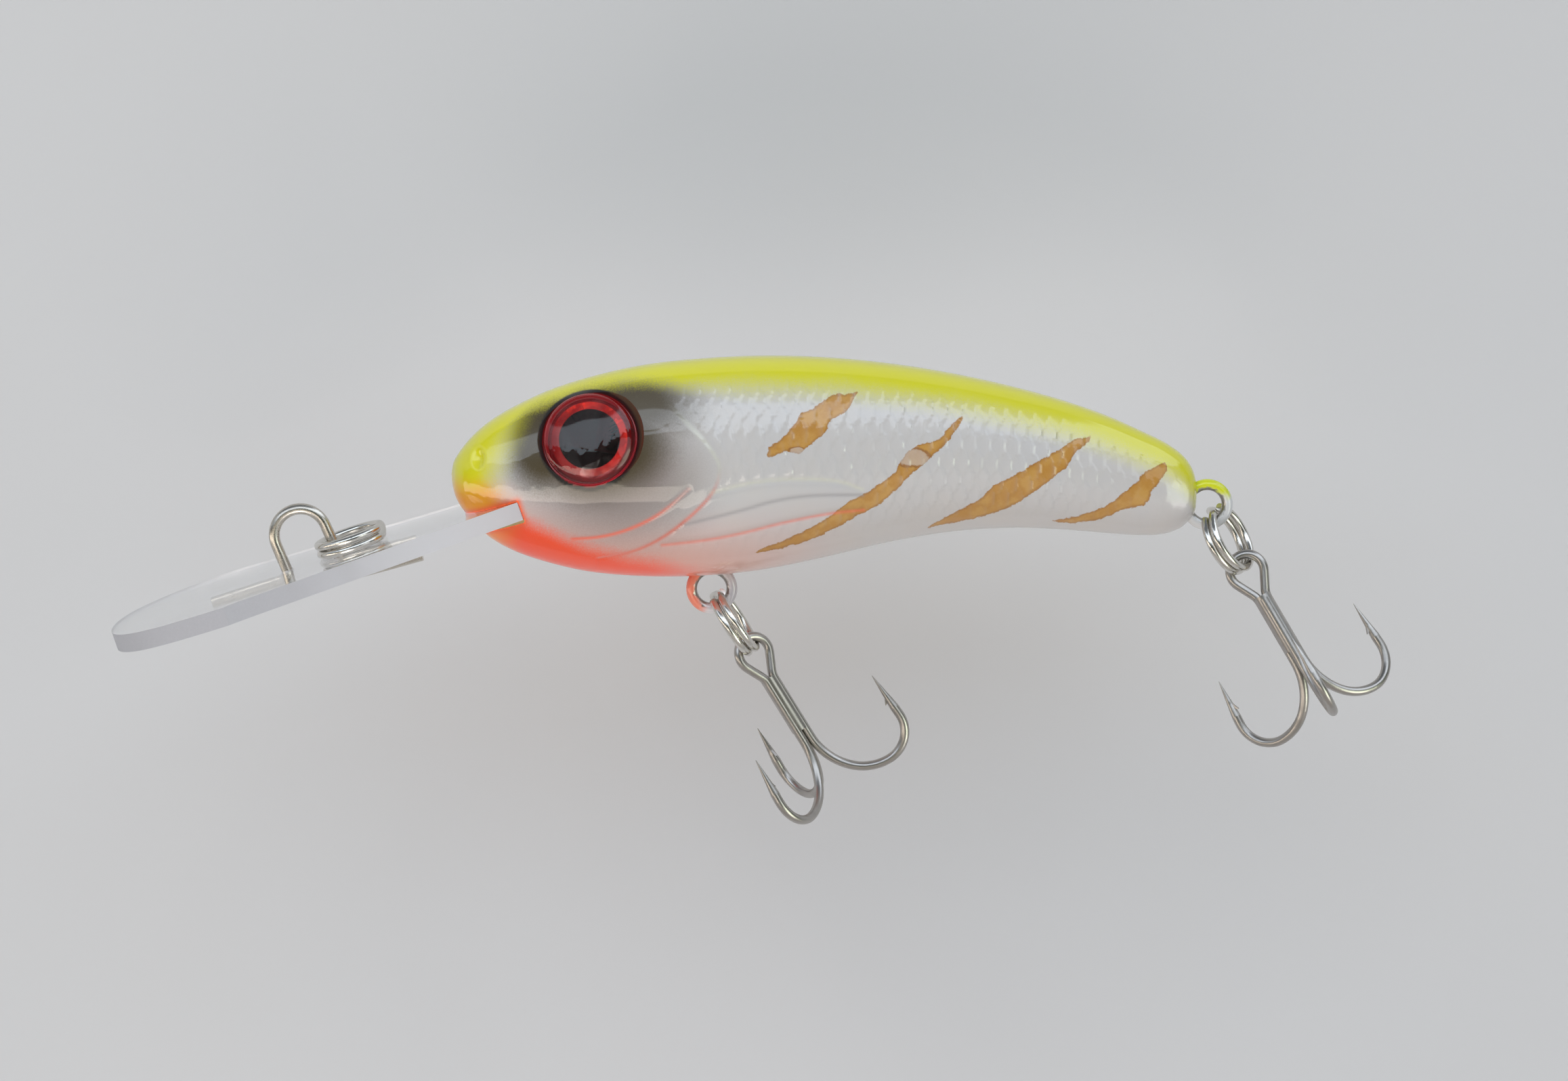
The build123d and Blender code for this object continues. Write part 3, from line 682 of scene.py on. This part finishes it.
# where the colours lie, x and z in mm. a fade is where it starts and ends, then its strength at either end
zones = {
    "wobble": 1.6, "dust": 1.5, "ovalDust": 0.15,
    "throat": (-0.2, 2.6, 1.0, 0.0), "throatFrom": (44.0, 0.18), "throatRear": (37.0, 48.0, 1.0, 0.0),
    "blush": (0.5, 9.5, 0.70, 0.0), "blushRear": (37.0, 62.0, 1.0, 0.03),
    "underEye": (5.0, 12.0, 2.2, 0.0), "roundEye": (5.4, 10.8, 0.96, 0.0),
    # ovals: middle x and z, half width and half height, then the fade from the middle out
    "overEye": ((36.0, 16.6, 8.4, 5.0), (0.25, 1.1, 0.95, 0.0)),
    "aheadOfEye": ((26.2, 12.6, 5.8, 7.4), (0.45, 1.05, 0.99, 0.0)),
    "cheek": ((34.0, 8.5, 12.0, 9.5), (0.25, 1.1, 0.74, 0.0)),
    "backFrom": ((32.0, 41.0, 0.0, 0.95), (19.0, 25.0, 1.6, 0.0)), "backFade": (36.0, 50.0, 1.9, 3.7),
    "nose": (17.8, 22.6, 1.0, 0.0), "noseLean": (6.0, 0.35),
    "lip": (4.7, 8.3, 1.0, 0.0), "lipRear": (18.5, 24.5, 1.0, 0.0), "slotLip": (22.5, 26.0, 1.0, 0.35),
    "ragged": 0.75, "stripe": (-0.07, 0.05, 0.95, 0.0), "stripeTone": (0.42, 0.62),
    "stripeRim": (-0.30, -0.06, 0.0, 0.5), "stripeScaleEdgeShade": 0.4,
    "worn": ((65.3, 12.1, 1.9, 0.95), (53.1, 12.45, 0.8, 0.4)),
    "wornRim": (1.05, 0.05, 0.25, 0.75, 0.0), "wornInside": (0.85, 1.0, 0.55, 1.0),
    # strengths of the painted highlights on the gill ridge and the scales' free edges
    "gillRidgeHighlight": 0.45, "scaleEdgeHighlightAndShade": 0.2, "flake": (0.55, 0.75), "flakes": 0.045, "slotGlow": 0.45,
}


def bodyPaint():
    material, g, shader, out = newMaterial("bodyPaint")
    x, z = g.place()
    haze = g.noise(3.5, 5)
    speck = g.noise(0.16, 3, 0.75)
    wobble = g.times(g.minus(haze, 0.5), zones["wobble"])
    dust = g.times(g.minus(speck, 0.5), zones["dust"])     # fine overspray dots

    def oval(cx, cz, wide, high):
        # 0 in the middle of an oval and 1 on its edge
        a, b = g.over(g.minus(x, cx), wide), g.over(g.minus(z, cz), high)
        return g.math("SQRT", g.plus(g.times(a, a), g.times(b, b)))

    def dusted(name):
        shape, fade = zones[name]
        return g.ramp(g.plus(oval(*shape), g.times(dust, zones["ovalDust"])), *fade)

    def blurred(name, share):
        # one of the stored distances with an uneven, dusty edge
        return g.plus(g.field(name), g.plus(g.times(wobble, share), dust))

    colour = g.mix(haze, paint["pearl"], paint["pearlWarm"])
    # orange throat, thinning out to a speckled blush
    belly = blurred("bellyDepth", 0.5)
    full, rise = zones["throatFrom"]
    throat = g.ramp(g.minus(belly, g.times(g.minus(full, x), rise)), *zones["throat"])
    throat = g.times(throat, g.ramp(x, *zones["throatRear"]))
    blush = g.times(g.ramp(belly, *zones["blush"]), g.ramp(x, *zones["blushRear"]))
    colour = g.mix(blush, colour, paint["blush"])
    # dark airbrush over, ahead of and behind the eye, and a softer grey on the cheek
    gap = g.plus(blurred("eyeGap", 0.4), g.ramp(z, *zones["underEye"]))
    shade = g.highest(g.ramp(gap, *zones["roundEye"]), dusted("overEye"))
    shade = g.highest(shade, dusted("aheadOfEye"))
    colour = g.mix(dusted("cheek"), colour, paint["cheek"])
    colour = g.mix(shade, colour, paint["shade"])
    colour = g.mix(throat, colour, paint["orange"])
    # yellow back and nose over the shade
    behind, ahead = zones["backFrom"]
    start = g.plus(g.ramp(x, *behind), g.ramp(x, *ahead))
    depth = g.over(g.minus(blurred("backDepth", 0.4), start), g.ramp(x, *zones["backFade"]))
    low, lean = zones["noseLean"]
    nose = g.plus(g.minus(x, g.times(g.minus(z, low), lean)), dust)
    yellow = g.highest(g.ramp(depth, 0.0, 1.0, 1.0, 0.0), g.ramp(nose, *zones["nose"]))
    colour = g.mix(yellow, colour, paint["back"])
    lip = g.times(g.ramp(g.plus(z, dust), *zones["lip"]), g.ramp(x, *zones["lipRear"]))
    colour = g.mix(lip, colour, paint["noseOrange"])
    colour = g.mix(g.times(g.field("slotEdge"), g.ramp(x, *zones["slotLip"])), colour, paint["lip"])
    # stripes with a ragged darker rim, and two worn patches in them
    ragged = g.times(g.minus(g.noise(0.8, 6, 0.65), 0.5), zones["ragged"])
    edge = g.plus(g.field("stripe"), ragged)
    tone = g.mix(g.ramp(g.noise(1.6, 5), *zones["stripeTone"]), paint["stripe"], paint["stripeLight"])
    # painted shade: inside the stripes the scales' free edges are painted darker
    tone = g.mix(g.times(g.field("scaleEdgeHighlightAndShade"), zones["stripeScaleEdgeShade"]), tone, paint["stripeRim"])
    first, second = zones["worn"]
    worn = g.plus(g.lowest(oval(*first), oval(*second)), ragged)
    rimAt, *rimFade = zones["wornRim"]
    wornRim = g.ramp(g.math("ABSOLUTE", g.minus(worn, rimAt)), *rimFade)
    tone = g.mix(g.highest(g.ramp(edge, *zones["stripeRim"]), wornRim), tone, paint["stripeRim"])
    stripe = g.times(g.ramp(edge, *zones["stripe"]), g.ramp(worn, *zones["wornInside"]))
    colour = g.mix(stripe, colour, tone)
    # moulded lines, the mouth slot and the eye socket, with painted light on the relief: a pale painted
    # highlight on the gill ridge, the top fin line and the scales' free edges, and painted shade in the
    # middle fin groove
    colour = g.mix(g.times(g.field("gillRidgeHighlight"), zones["gillRidgeHighlight"]), colour, paint["ridgeHighlight"])
    for field, over in (("finGrooveShade", "grooveShade"), ("finTopHighlight", "ridgeHighlight"), ("lineTint", "lineRed"),
                        ("slotMask", "lip"), ("socketRim", "socket"), ("socketFloor", "socketFloor")):
        colour = g.mix(g.field(field), colour, paint[over])
    # painted highlight: the scales' free edges are painted pale
    colour = g.mix(g.times(g.field("scaleEdgeHighlightAndShade"), zones["scaleEdgeHighlightAndShade"]), colour, paint["scaleEdgeHighlightAndShade"])
    # fine pearl flake
    flake = g.ramp(g.noise(0.05, 2, 0.6), *zones["flake"])
    colour = g.mix(g.times(flake, zones["flakes"]), colour, paint["flake"])
    g.plug(shader.inputs["Base Color"], colour)
    # painted glow on the slot walls, standing in for light that the clear bib carries into its slot
    shader.inputs["Emission Color"].default_value = paint["lip"]
    g.plug(shader.inputs["Emission Strength"], g.times(g.field("slotMask"), zones["slotGlow"]))
    g.plug(shader.inputs["Roughness"], g.timesPlus(speck, 0.15, 0.32))
    shader.inputs["Metallic"].default_value = 0.0
    shader.inputs["IOR"].default_value = paint["ior"]
    shader.inputs["Coat Weight"].default_value = paint["coat"]
    shader.inputs["Coat Roughness"].default_value = paint["coatRough"]
    shader.inputs["Coat IOR"].default_value = paint["coatIor"]
    g.plug(shader.inputs["Normal"], g.bump(speck, 0.10, 0.02))
    return material


# tone, roughness, and how much of the stain shows
metals = {
    "ringSteel": (rgb(0.70, 0.675, 0.63), 0.13, 0.35),
    "hookNickel": (rgb(0.45, 0.425, 0.40), 0.25, 0.35),
    "towSteel": (rgb(0.62, 0.58, 0.52), 0.22, 0.45),
    "ballSteel": (rgb(0.7, 0.7, 0.7), 0.1, 0.1),
}


def steel(name, tone, rough, tarnish):
    # drawn and tumbled wire: fine streaks, soft dark stains
    material, g, shader, out = newMaterial(name)
    stain = g.ramp(g.noise(1.6, 6, 0.6), 0.45, 0.72)
    fine = g.noise(0.09, 3, 0.7)
    dark = tuple(c * 0.55 for c in tone[:3]) + (1.0,)
    g.plug(shader.inputs["Base Color"], g.mix(g.times(stain, tarnish), tone, dark))
    shader.inputs["Metallic"].default_value = 1.0
    g.plug(shader.inputs["Roughness"], g.timesPlus(g.plus(stain, fine), 0.09, rough))
    g.plug(shader.inputs["Normal"], g.bump(g.plus(fine, g.noise(0.8, 3)), 0.12, 0.02))
    return material


# eyelets: middle x and z, the paint above and below, and where one fades into the other, along x or z
hangers = {
    "bellyWire": {"middle": (44.47, -4.07), "upper": rgb(0.72, 0.69, 0.71), "lower": rgb(0.90, 0.27, 0.17),
                  "along": "x", "blend": (-1.6, 0.0)},
    "tailWire": {"middle": (97.37, 7.2), "upper": rgb(0.66, 0.71, 0.02), "lower": rgb(0.70, 0.70, 0.70),
                 "along": "z", "blend": (0.5, 1.8)},
    "bare": (1.75, 2.0, 1.0, 0.0), "ragged": 1.1, "coat": 0.5,
    "metal": (rgb(0.55, 0.53, 0.5), rgb(0.28, 0.26, 0.24)),
}


def paintedWire(name):
    # body paint over the eyelet, worn to bare wire inside it
    material, g, shader, out = newMaterial(name)
    look = hangers[name]
    x, z = (g.minus(place, middle) for place, middle in zip(g.place(), look["middle"]))
    radius = g.math("SQRT", g.plus(g.times(x, x), g.times(z, z)))
    rag = g.times(g.minus(g.noise(0.7, 5), 0.5), hangers["ragged"])
    bare = g.ramp(g.plus(radius, rag), *hangers["bare"])
    along = x if look["along"] == "x" else z
    colour = g.mix(g.ramp(g.plus(along, rag), *look["blend"]), look["lower"], look["upper"])
    metal = g.mix(g.noise(0.4, 4), *hangers["metal"])
    g.plug(shader.inputs["Base Color"], g.mix(bare, colour, metal))
    g.plug(shader.inputs["Metallic"], bare)
    g.plug(shader.inputs["Roughness"], g.timesPlus(bare, 0.05, 0.25))
    shader.inputs["Coat Weight"].default_value = hangers["coat"]
    g.plug(shader.inputs["Normal"], g.bump(bare, 0.3, -0.05))
    return material


# tint, ior, roughness, and how much rougher the handled patches are
resins = {
    "bib": (rgb(0.93, 0.94, 0.95), 1.5, 0.01, 0.05),
    "dome": (rgb(0.97, 0.88, 0.87), 1.52, 0.0, 0.0),
    "domeRim": (4.15, 4.5), "domeRimTone": rgb(0.80, 0.05, 0.08),
}


def clearPlastic(name, tint, ior, rough, wear, centre=None):
    # light passes straight through to what is behind, so nothing inside goes black
    material, g, shader, out = newMaterial(name)
    shader.inputs["Base Color"].default_value = tint
    if centre:
        # domes are clear over the foil and deep red at the rim
        rim = g.ramp(g.away(centre), *resins["domeRim"])
        g.plug(shader.inputs["Base Color"], g.mix(rim, tint, resins["domeRimTone"]))
    shader.inputs["Transmission Weight"].default_value = 1.0
    shader.inputs["IOR"].default_value = ior
    g.plug(shader.inputs["Roughness"], g.timesPlus(g.ramp(g.noise(2.5, 6), 0.5, 0.8), wear, rough))
    g.plug(shader.inputs["Normal"], g.bump(g.noise(1.4, 3), 0.05, 0.02))
    thin = g.add("ShaderNodeBsdfTransparent")
    thin.inputs[0].default_value = tint
    path = g.add("ShaderNodeLightPath")
    both = g.add("ShaderNodeMixShader")
    passing = g.highest(path.outputs["Is Shadow Ray"], path.outputs["Is Diffuse Ray"])
    g.plug(both.inputs[0], passing)
    g.plug(both.inputs[1], shader.outputs[0])
    g.plug(both.inputs[2], thin.outputs[0])
    g.plug(out.inputs[0], both.outputs[0])
    return material


frost = {
    "paintedLightToMouth": (-6.0, 16.0),          # painted light: paler between these, going towards the mouth
    "far": (rgb(0.50, 0.495, 0.52), rgb(0.58, 0.575, 0.60)), "near": rgb(0.72, 0.715, 0.735),
    "through": 0.35, "ior": 1.5, "rough": 0.5,
}


def frosted():
    material, g, shader, out = newMaterial("bibEdge")
    saw = g.noise(0.25, 5, 0.65)
    # painted light on the frosted rim, paler towards the mouth
    near = g.ramp(g.place()[0], *frost["paintedLightToMouth"])
    g.plug(shader.inputs["Base Color"], g.mix(near, g.mix(saw, *frost["far"]), frost["near"]))
    shader.inputs["Transmission Weight"].default_value = frost["through"]
    shader.inputs["IOR"].default_value = frost["ior"]
    shader.inputs["Roughness"].default_value = frost["rough"]
    g.plug(shader.inputs["Normal"], g.bump(saw, 0.3, 0.03))
    return material


foil = {
    "cell": 1900.0, "depth": -0.4, "pupil": (2.98, 3.06), "rim": (3.74, 3.82),
    "red": (rgb(0.50, 0.003, 0.004), rgb(0.95, 0.040, 0.02)), "patch": rgb(0.30, 0.003, 0.006),
    "patches": 0.75,
    # tone and fade of the painted shade on the ring, and the ways its painted light rises
    "paintedShadeTone": rgb(0.22, 0.003, 0.006), "paintedShadeFade": (-2.4, 1.6, 0.72, 0.0), "paintedLightTowards": (0.65, 0.75),
    "black": rgb(0.004, 0.004, 0.005), "rimTone": rgb(0.19, 0.002, 0.006),
    # glow is a painted glow on the red ring
    "metal": 0.35, "gloss": 0.4, "glow": 0.12, "paintedGlowFrom": (3.0, 3.1), "paintedGlowTo": (3.8, 3.88),
}


def eyeFoil(side):
    material, g, shader, out = newMaterial("eyeFoil" + ("Left" if side < 0 else "Right"))
    centre = eyeFrame(side) @ Vector((0, 0, foil["depth"]))
    radius = g.away(centre)
    cells = g.add("ShaderNodeTexVoronoi")
    g.plug(cells.inputs["Vector"], g.coords())
    cells.inputs["Scale"].default_value = foil["cell"]
    spark = g.add("ShaderNodeSeparateColor")
    g.plug(spark.inputs[0], cells.outputs["Color"])
    patches = g.ramp(g.noise(2.6, 3), 0.40, 0.62)
    red = g.mix(spark.outputs[0], *foil["red"])
    red = g.mix(g.times(patches, foil["patches"]), red, foil["patch"])
    # painted light and shade: the ring is painted brighter towards the back and the tail and darker towards
    # the nose and the belly
    x, z = g.place()
    tailward, backward = foil["paintedLightTowards"]
    paintedLight = g.plus(g.times(g.minus(z, centre.z), backward), patches)
    paintedLight = g.plus(g.times(g.minus(x, centre.x), tailward), paintedLight)
    red = g.mix(g.ramp(paintedLight, *foil["paintedShadeFade"]), red, foil["paintedShadeTone"])
    iris = g.mix(g.ramp(radius, *foil["pupil"], 1.0, 0.0), red, foil["black"])
    iris = g.mix(g.ramp(radius, *foil["rim"]), iris, foil["rimTone"])
    g.plug(shader.inputs["Base Color"], iris)
    g.plug(shader.inputs["Metallic"], g.times(g.ramp(radius, *foil["pupil"]), foil["metal"]))
    g.plug(shader.inputs["Roughness"], g.timesPlus(spark.outputs[1], 0.2, 0.3))
    g.plug(shader.inputs["Specular IOR Level"], g.ramp(radius, *foil["pupil"], 0.0, foil["gloss"]))
    # painted glow: a faint emission in the red ring, though the foil is no lamp
    glow = g.times(g.ramp(radius, *foil["paintedGlowFrom"]), g.ramp(radius, *foil["paintedGlowTo"], 1.0, 0.0))
    g.plug(shader.inputs["Emission Color"], red)
    g.plug(shader.inputs["Emission Strength"], g.times(glow, foil["glow"]))
    g.plug(shader.inputs["Normal"], g.bump(spark.outputs[2], 0.5, 0.05))
    return material


glue = {"tones": (rgb(0.50, 0.40, 0.14), rgb(0.72, 0.62, 0.34)), "rough": 0.25, "through": 0.3}


def gluePaste():
    material, g, shader, out = newMaterial("driedGlue")
    g.plug(shader.inputs["Base Color"], g.mix(g.noise(0.4, 4), *glue["tones"]))
    shader.inputs["Roughness"].default_value = glue["rough"]
    shader.inputs["Transmission Weight"].default_value = glue["through"]
    g.plug(shader.inputs["Normal"], g.bump(g.noise(0.3, 4), 0.4, 0.05))
    return material


def dress(obj, material):
    obj.data.materials.clear()
    obj.data.materials.append(material)


print("building the flanks")
tree = scaleTree()
coatPaint = bodyPaint()
for name, side, node in (("FlankLeft", -1, "body_shell_left"), ("FlankRight", 1, "body_shell_right")):
    flank = buildFlank(name, side, tree, coatPaint)
    paintFields(flank, side)
    dress(flank, coatPaint)
    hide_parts(node)
    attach(flank, "lure_body")
    print(name, len(flank.data.polygons), "faces")

# bib: clear faces, frosted rim
bib = makeObject("DivingBib", nodes["diving_bib"].data.copy())
bib.data.materials.clear()
bib.data.materials.append(clearPlastic("bibClear", *resins["bib"]))
bib.data.materials.append(frosted())
for face in bib.data.polygons:
    face.material_index = 0 if abs(face.normal.dot(bibUp)) > 0.9 else 1
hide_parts("diving_bib")
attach(bib, "lure_body")
print("bib done")

# parts that keep the shape they came with
ringSteel, hookNickel, towSteel, ballSteel = (steel(name, *look) for name, look in metals.items())
for name in ("tow_split_ring", "belly_split_ring", "tail_split_ring"):
    dress(nodes[name], ringSteel)
for end in ("belly", "tail"):
    for part in ("double_hook", "single_hook"):
        dress(nodes[end + "_treble_" + part], hookNickel)
    dress(nodes[end + "_treble_braze"], hookNickel)
dress(nodes["tow_wire"], towSteel)
for name in ("front_rattle_ball", "rear_rattle_ball"):
    dress(nodes[name], ballSteel)
dress(nodes["belly_ballast"], towSteel)
dress(nodes["bib_glue_bead"], gluePaste())
dress(nodes["belly_hanger"], paintedWire("bellyWire"))
dress(nodes["tail_hanger"], paintedWire("tailWire"))
for name, side in (("left", -1), ("right", 1)):
    seat = eyeFrame(side) @ Vector((0, 0, 0.3))
    domeResin = clearPlastic(name + "DomeResin", *resins["dome"], seat)
    dress(nodes[name + "_eye_dome"], domeResin)
    dress(nodes[name + "_eye_foil"], eyeFoil(side))
crease = 40                # degrees above which an edge stays sharp on these
for node in nodes.values():
    smoothShade(node, crease)
print("finishes on")

# sheet it lies on, light and camera
view = {"target": (52.06, 0, 1.47), "distance": 550.0, "rise": 9.5, "roll": 2.24, "lens": 117.2}
look = Vector((0, math.cos(math.radians(view["rise"])), -math.sin(math.radians(view["rise"]))))
right = Vector((1, 0, 0))
up = right.cross(look)
roll = math.radians(view["roll"])
camRight = right * math.cos(roll) + up * math.sin(roll)
camUp = up * math.cos(roll) - right * math.sin(roll)
cameraData = bpy.data.cameras.new("camera")
cameraData.lens = view["lens"]
cameraData.clip_start = 0.01
camera = makeObject("camera", cameraData)
stand = Matrix((camRight, camUp, -look)).transposed().to_4x4()
stand.translation = (Vector(view["target"]) - look * view["distance"]) * mm
camera.matrix_world = stand
bpy.context.scene.camera = camera

sheet = {"behind": 42.0, "half": 900.0, "tone": rgb(0.645, 0.635, 0.63), "blotch": rgb(0.66, 0.655, 0.655)}
flat = [(-1, -1), (1, -1), (1, 1), (-1, 1)]
middle = Vector(view["target"]) + look * sheet["behind"]
corners = [(middle + camRight * a * sheet["half"] + camUp * b * sheet["half"]) * mm for a, b in flat]
floor = makeObject("floor", meshFrom("floor", corners, [(0, 1, 2, 3)]))
sheetPaint, g, shader, out = newMaterial("sheet")
g.plug(shader.inputs["Base Color"], g.mix(g.noise(40, 3), sheet["tone"], sheet["blotch"]))
shader.inputs["Roughness"].default_value = 0.9
# the sheet is seen from its front only, so it never hides the lure from a camera behind it
fromBehind = g.add("ShaderNodeNewGeometry").outputs["Backfacing"]
oneWay = g.add("ShaderNodeMixShader")
g.plug(oneWay.inputs[0], fromBehind)
g.plug(oneWay.inputs[1], shader.outputs[0])
g.plug(oneWay.inputs[2], g.add("ShaderNodeBsdfTransparent").outputs[0])
g.plug(out.inputs[0], oneWay.outputs[0])
floor.data.materials.append(sheetPaint)

lights = [
    # from the target, in camera axes: right, up, towards the camera; size, watts, tone
    ("key", (-190, 400, 330), 300, 0.86, (1.0, 0.965, 0.91)),
    ("fill", (380, 60, 420), 320, 0.25, (0.92, 0.95, 1.0)),
    ("low", (-60, -360, 300), 300, 0.80, (1.0, 0.93, 0.87)),
]
for name, (a, b, c), size, power, tone in lights:
    lamp = bpy.data.lights.new(name, "AREA")
    lamp.shape = "DISK"
    lamp.size = size * mm
    lamp.energy = power
    lamp.color = tone
    holder = makeObject(name, lamp)
    holder.visible_glossy = name == "fill"
    spot = (Vector(view["target"]) + camRight * a + camUp * b - look * c) * mm
    holder.location = spot
    holder.rotation_euler = (Vector(view["target"]) * mm - spot).to_track_quat("-Z", "Y").to_euler()

# surroundings: ground, a dark line of trees, a bright strip of sky under a dull roof
sky = {
    "tree": 0.38, "ragged": 0.32, "roof": 0.76, "lean": 0.3, "bright": 2.0, "dull": 0.20, "dark": 0.07,
    "ground": 0.48, "strip": 2.7, "glint": 3.4, "plain": 0.86,
    "treeTone": rgb(0.8, 0.9, 0.7), "skyTone": rgb(0.80, 0.89, 1.0), "groundTone": rgb(1.0, 0.96, 0.92),
    "groundEdge": (-0.34, -0.22, 1.0, 0.0), "nosewards": (-0.95, -0.6, 0.3, 1.0),
    "stripLow": (-0.35, -0.33), "stripHigh": (-0.19, -0.17, 1.0, 0.0), "stripSide": (-0.16, -0.02, 1.0, 0.1),
    "stripTone": rgb(1.0, 0.86, 0.74), "glintAt": (0.80, -0.58, -0.14), "glintEdge": (0.2, 0.42, 1.0, 0.0),
}
world = bpy.data.worlds.new("sky")
bpy.context.scene.world = world
world.use_nodes = True
g = Nodes(world.node_tree)
g.tree.nodes.clear()
glow, out = g.add("ShaderNodeBackground"), g.add("ShaderNodeOutputWorld")
where = g.add("ShaderNodeTexCoord").outputs["Generated"]
parts = g.add("ShaderNodeSeparateXYZ")
g.plug(parts.inputs[0], where)
height = g.minus(parts.outputs[2], g.times(parts.outputs[0], sky["lean"]))
leaves = g.times(g.minus(g.noise(140, 7, 0.62, where), 0.5), sky["ragged"] * 2)
overTrees = g.ramp(g.plus(height, leaves), sky["tree"] - 0.01, sky["tree"] + 0.01)
tone = g.mix(overTrees, sky["treeTone"], sky["skyTone"])
power = g.ramp(overTrees, 0.0, 1.0, sky["dark"], sky["bright"])
underRoof = g.ramp(height, sky["roof"] - 0.02, sky["roof"] + 0.03)
power = g.plus(g.times(power, g.minus(1.0, underRoof)), g.times(underRoof, sky["dull"]))
onGround = g.ramp(parts.outputs[2], *sky["groundEdge"])
tone = g.mix(onGround, tone, sky["groundTone"])
power = g.highest(power, g.times(onGround, sky["ground"]))
# darker sky ahead of the nose
power = g.times(power, g.ramp(parts.outputs[0], *sky["nosewards"]))
# seen in reflections only: a sunny strip of ground ahead, and a small bright patch behind the tail
path = g.add("ShaderNodeLightPath")
seen = path.outputs["Is Glossy Ray"]
rough = g.plus(parts.outputs[2], g.times(leaves, 0.3))
strip = g.times(g.ramp(rough, *sky["stripLow"]), g.ramp(rough, *sky["stripHigh"]))
strip = g.times(strip, g.ramp(parts.outputs[0], *sky["stripSide"]))
strip = g.times(g.times(strip, seen), sky["strip"])
away = g.add("ShaderNodeVectorMath", operation="DISTANCE")
g.plug(away.inputs[0], where)
away.inputs[1].default_value = sky["glintAt"]
glint = g.times(g.times(g.ramp(away.outputs["Value"], *sky["glintEdge"]), seen), sky["glint"])
tone = g.mix(g.times(strip, 0.3), tone, sky["stripTone"])
power = g.plus(power, g.plus(strip, glint))
# past the sheet there is only plain pale air to see
plain = g.highest(path.outputs["Is Camera Ray"], path.outputs["Is Transmission Ray"])
tone = g.mix(plain, tone, sheet["tone"])
power = g.plus(g.times(power, g.minus(1.0, plain)), g.times(plain, sky["plain"]))
g.plug(glow.inputs[0], tone)
g.plug(glow.inputs[1], power)
g.plug(out.inputs[0], glow.outputs[0])
bpy.context.scene.view_settings.view_transform = "Standard"
print("stage set")
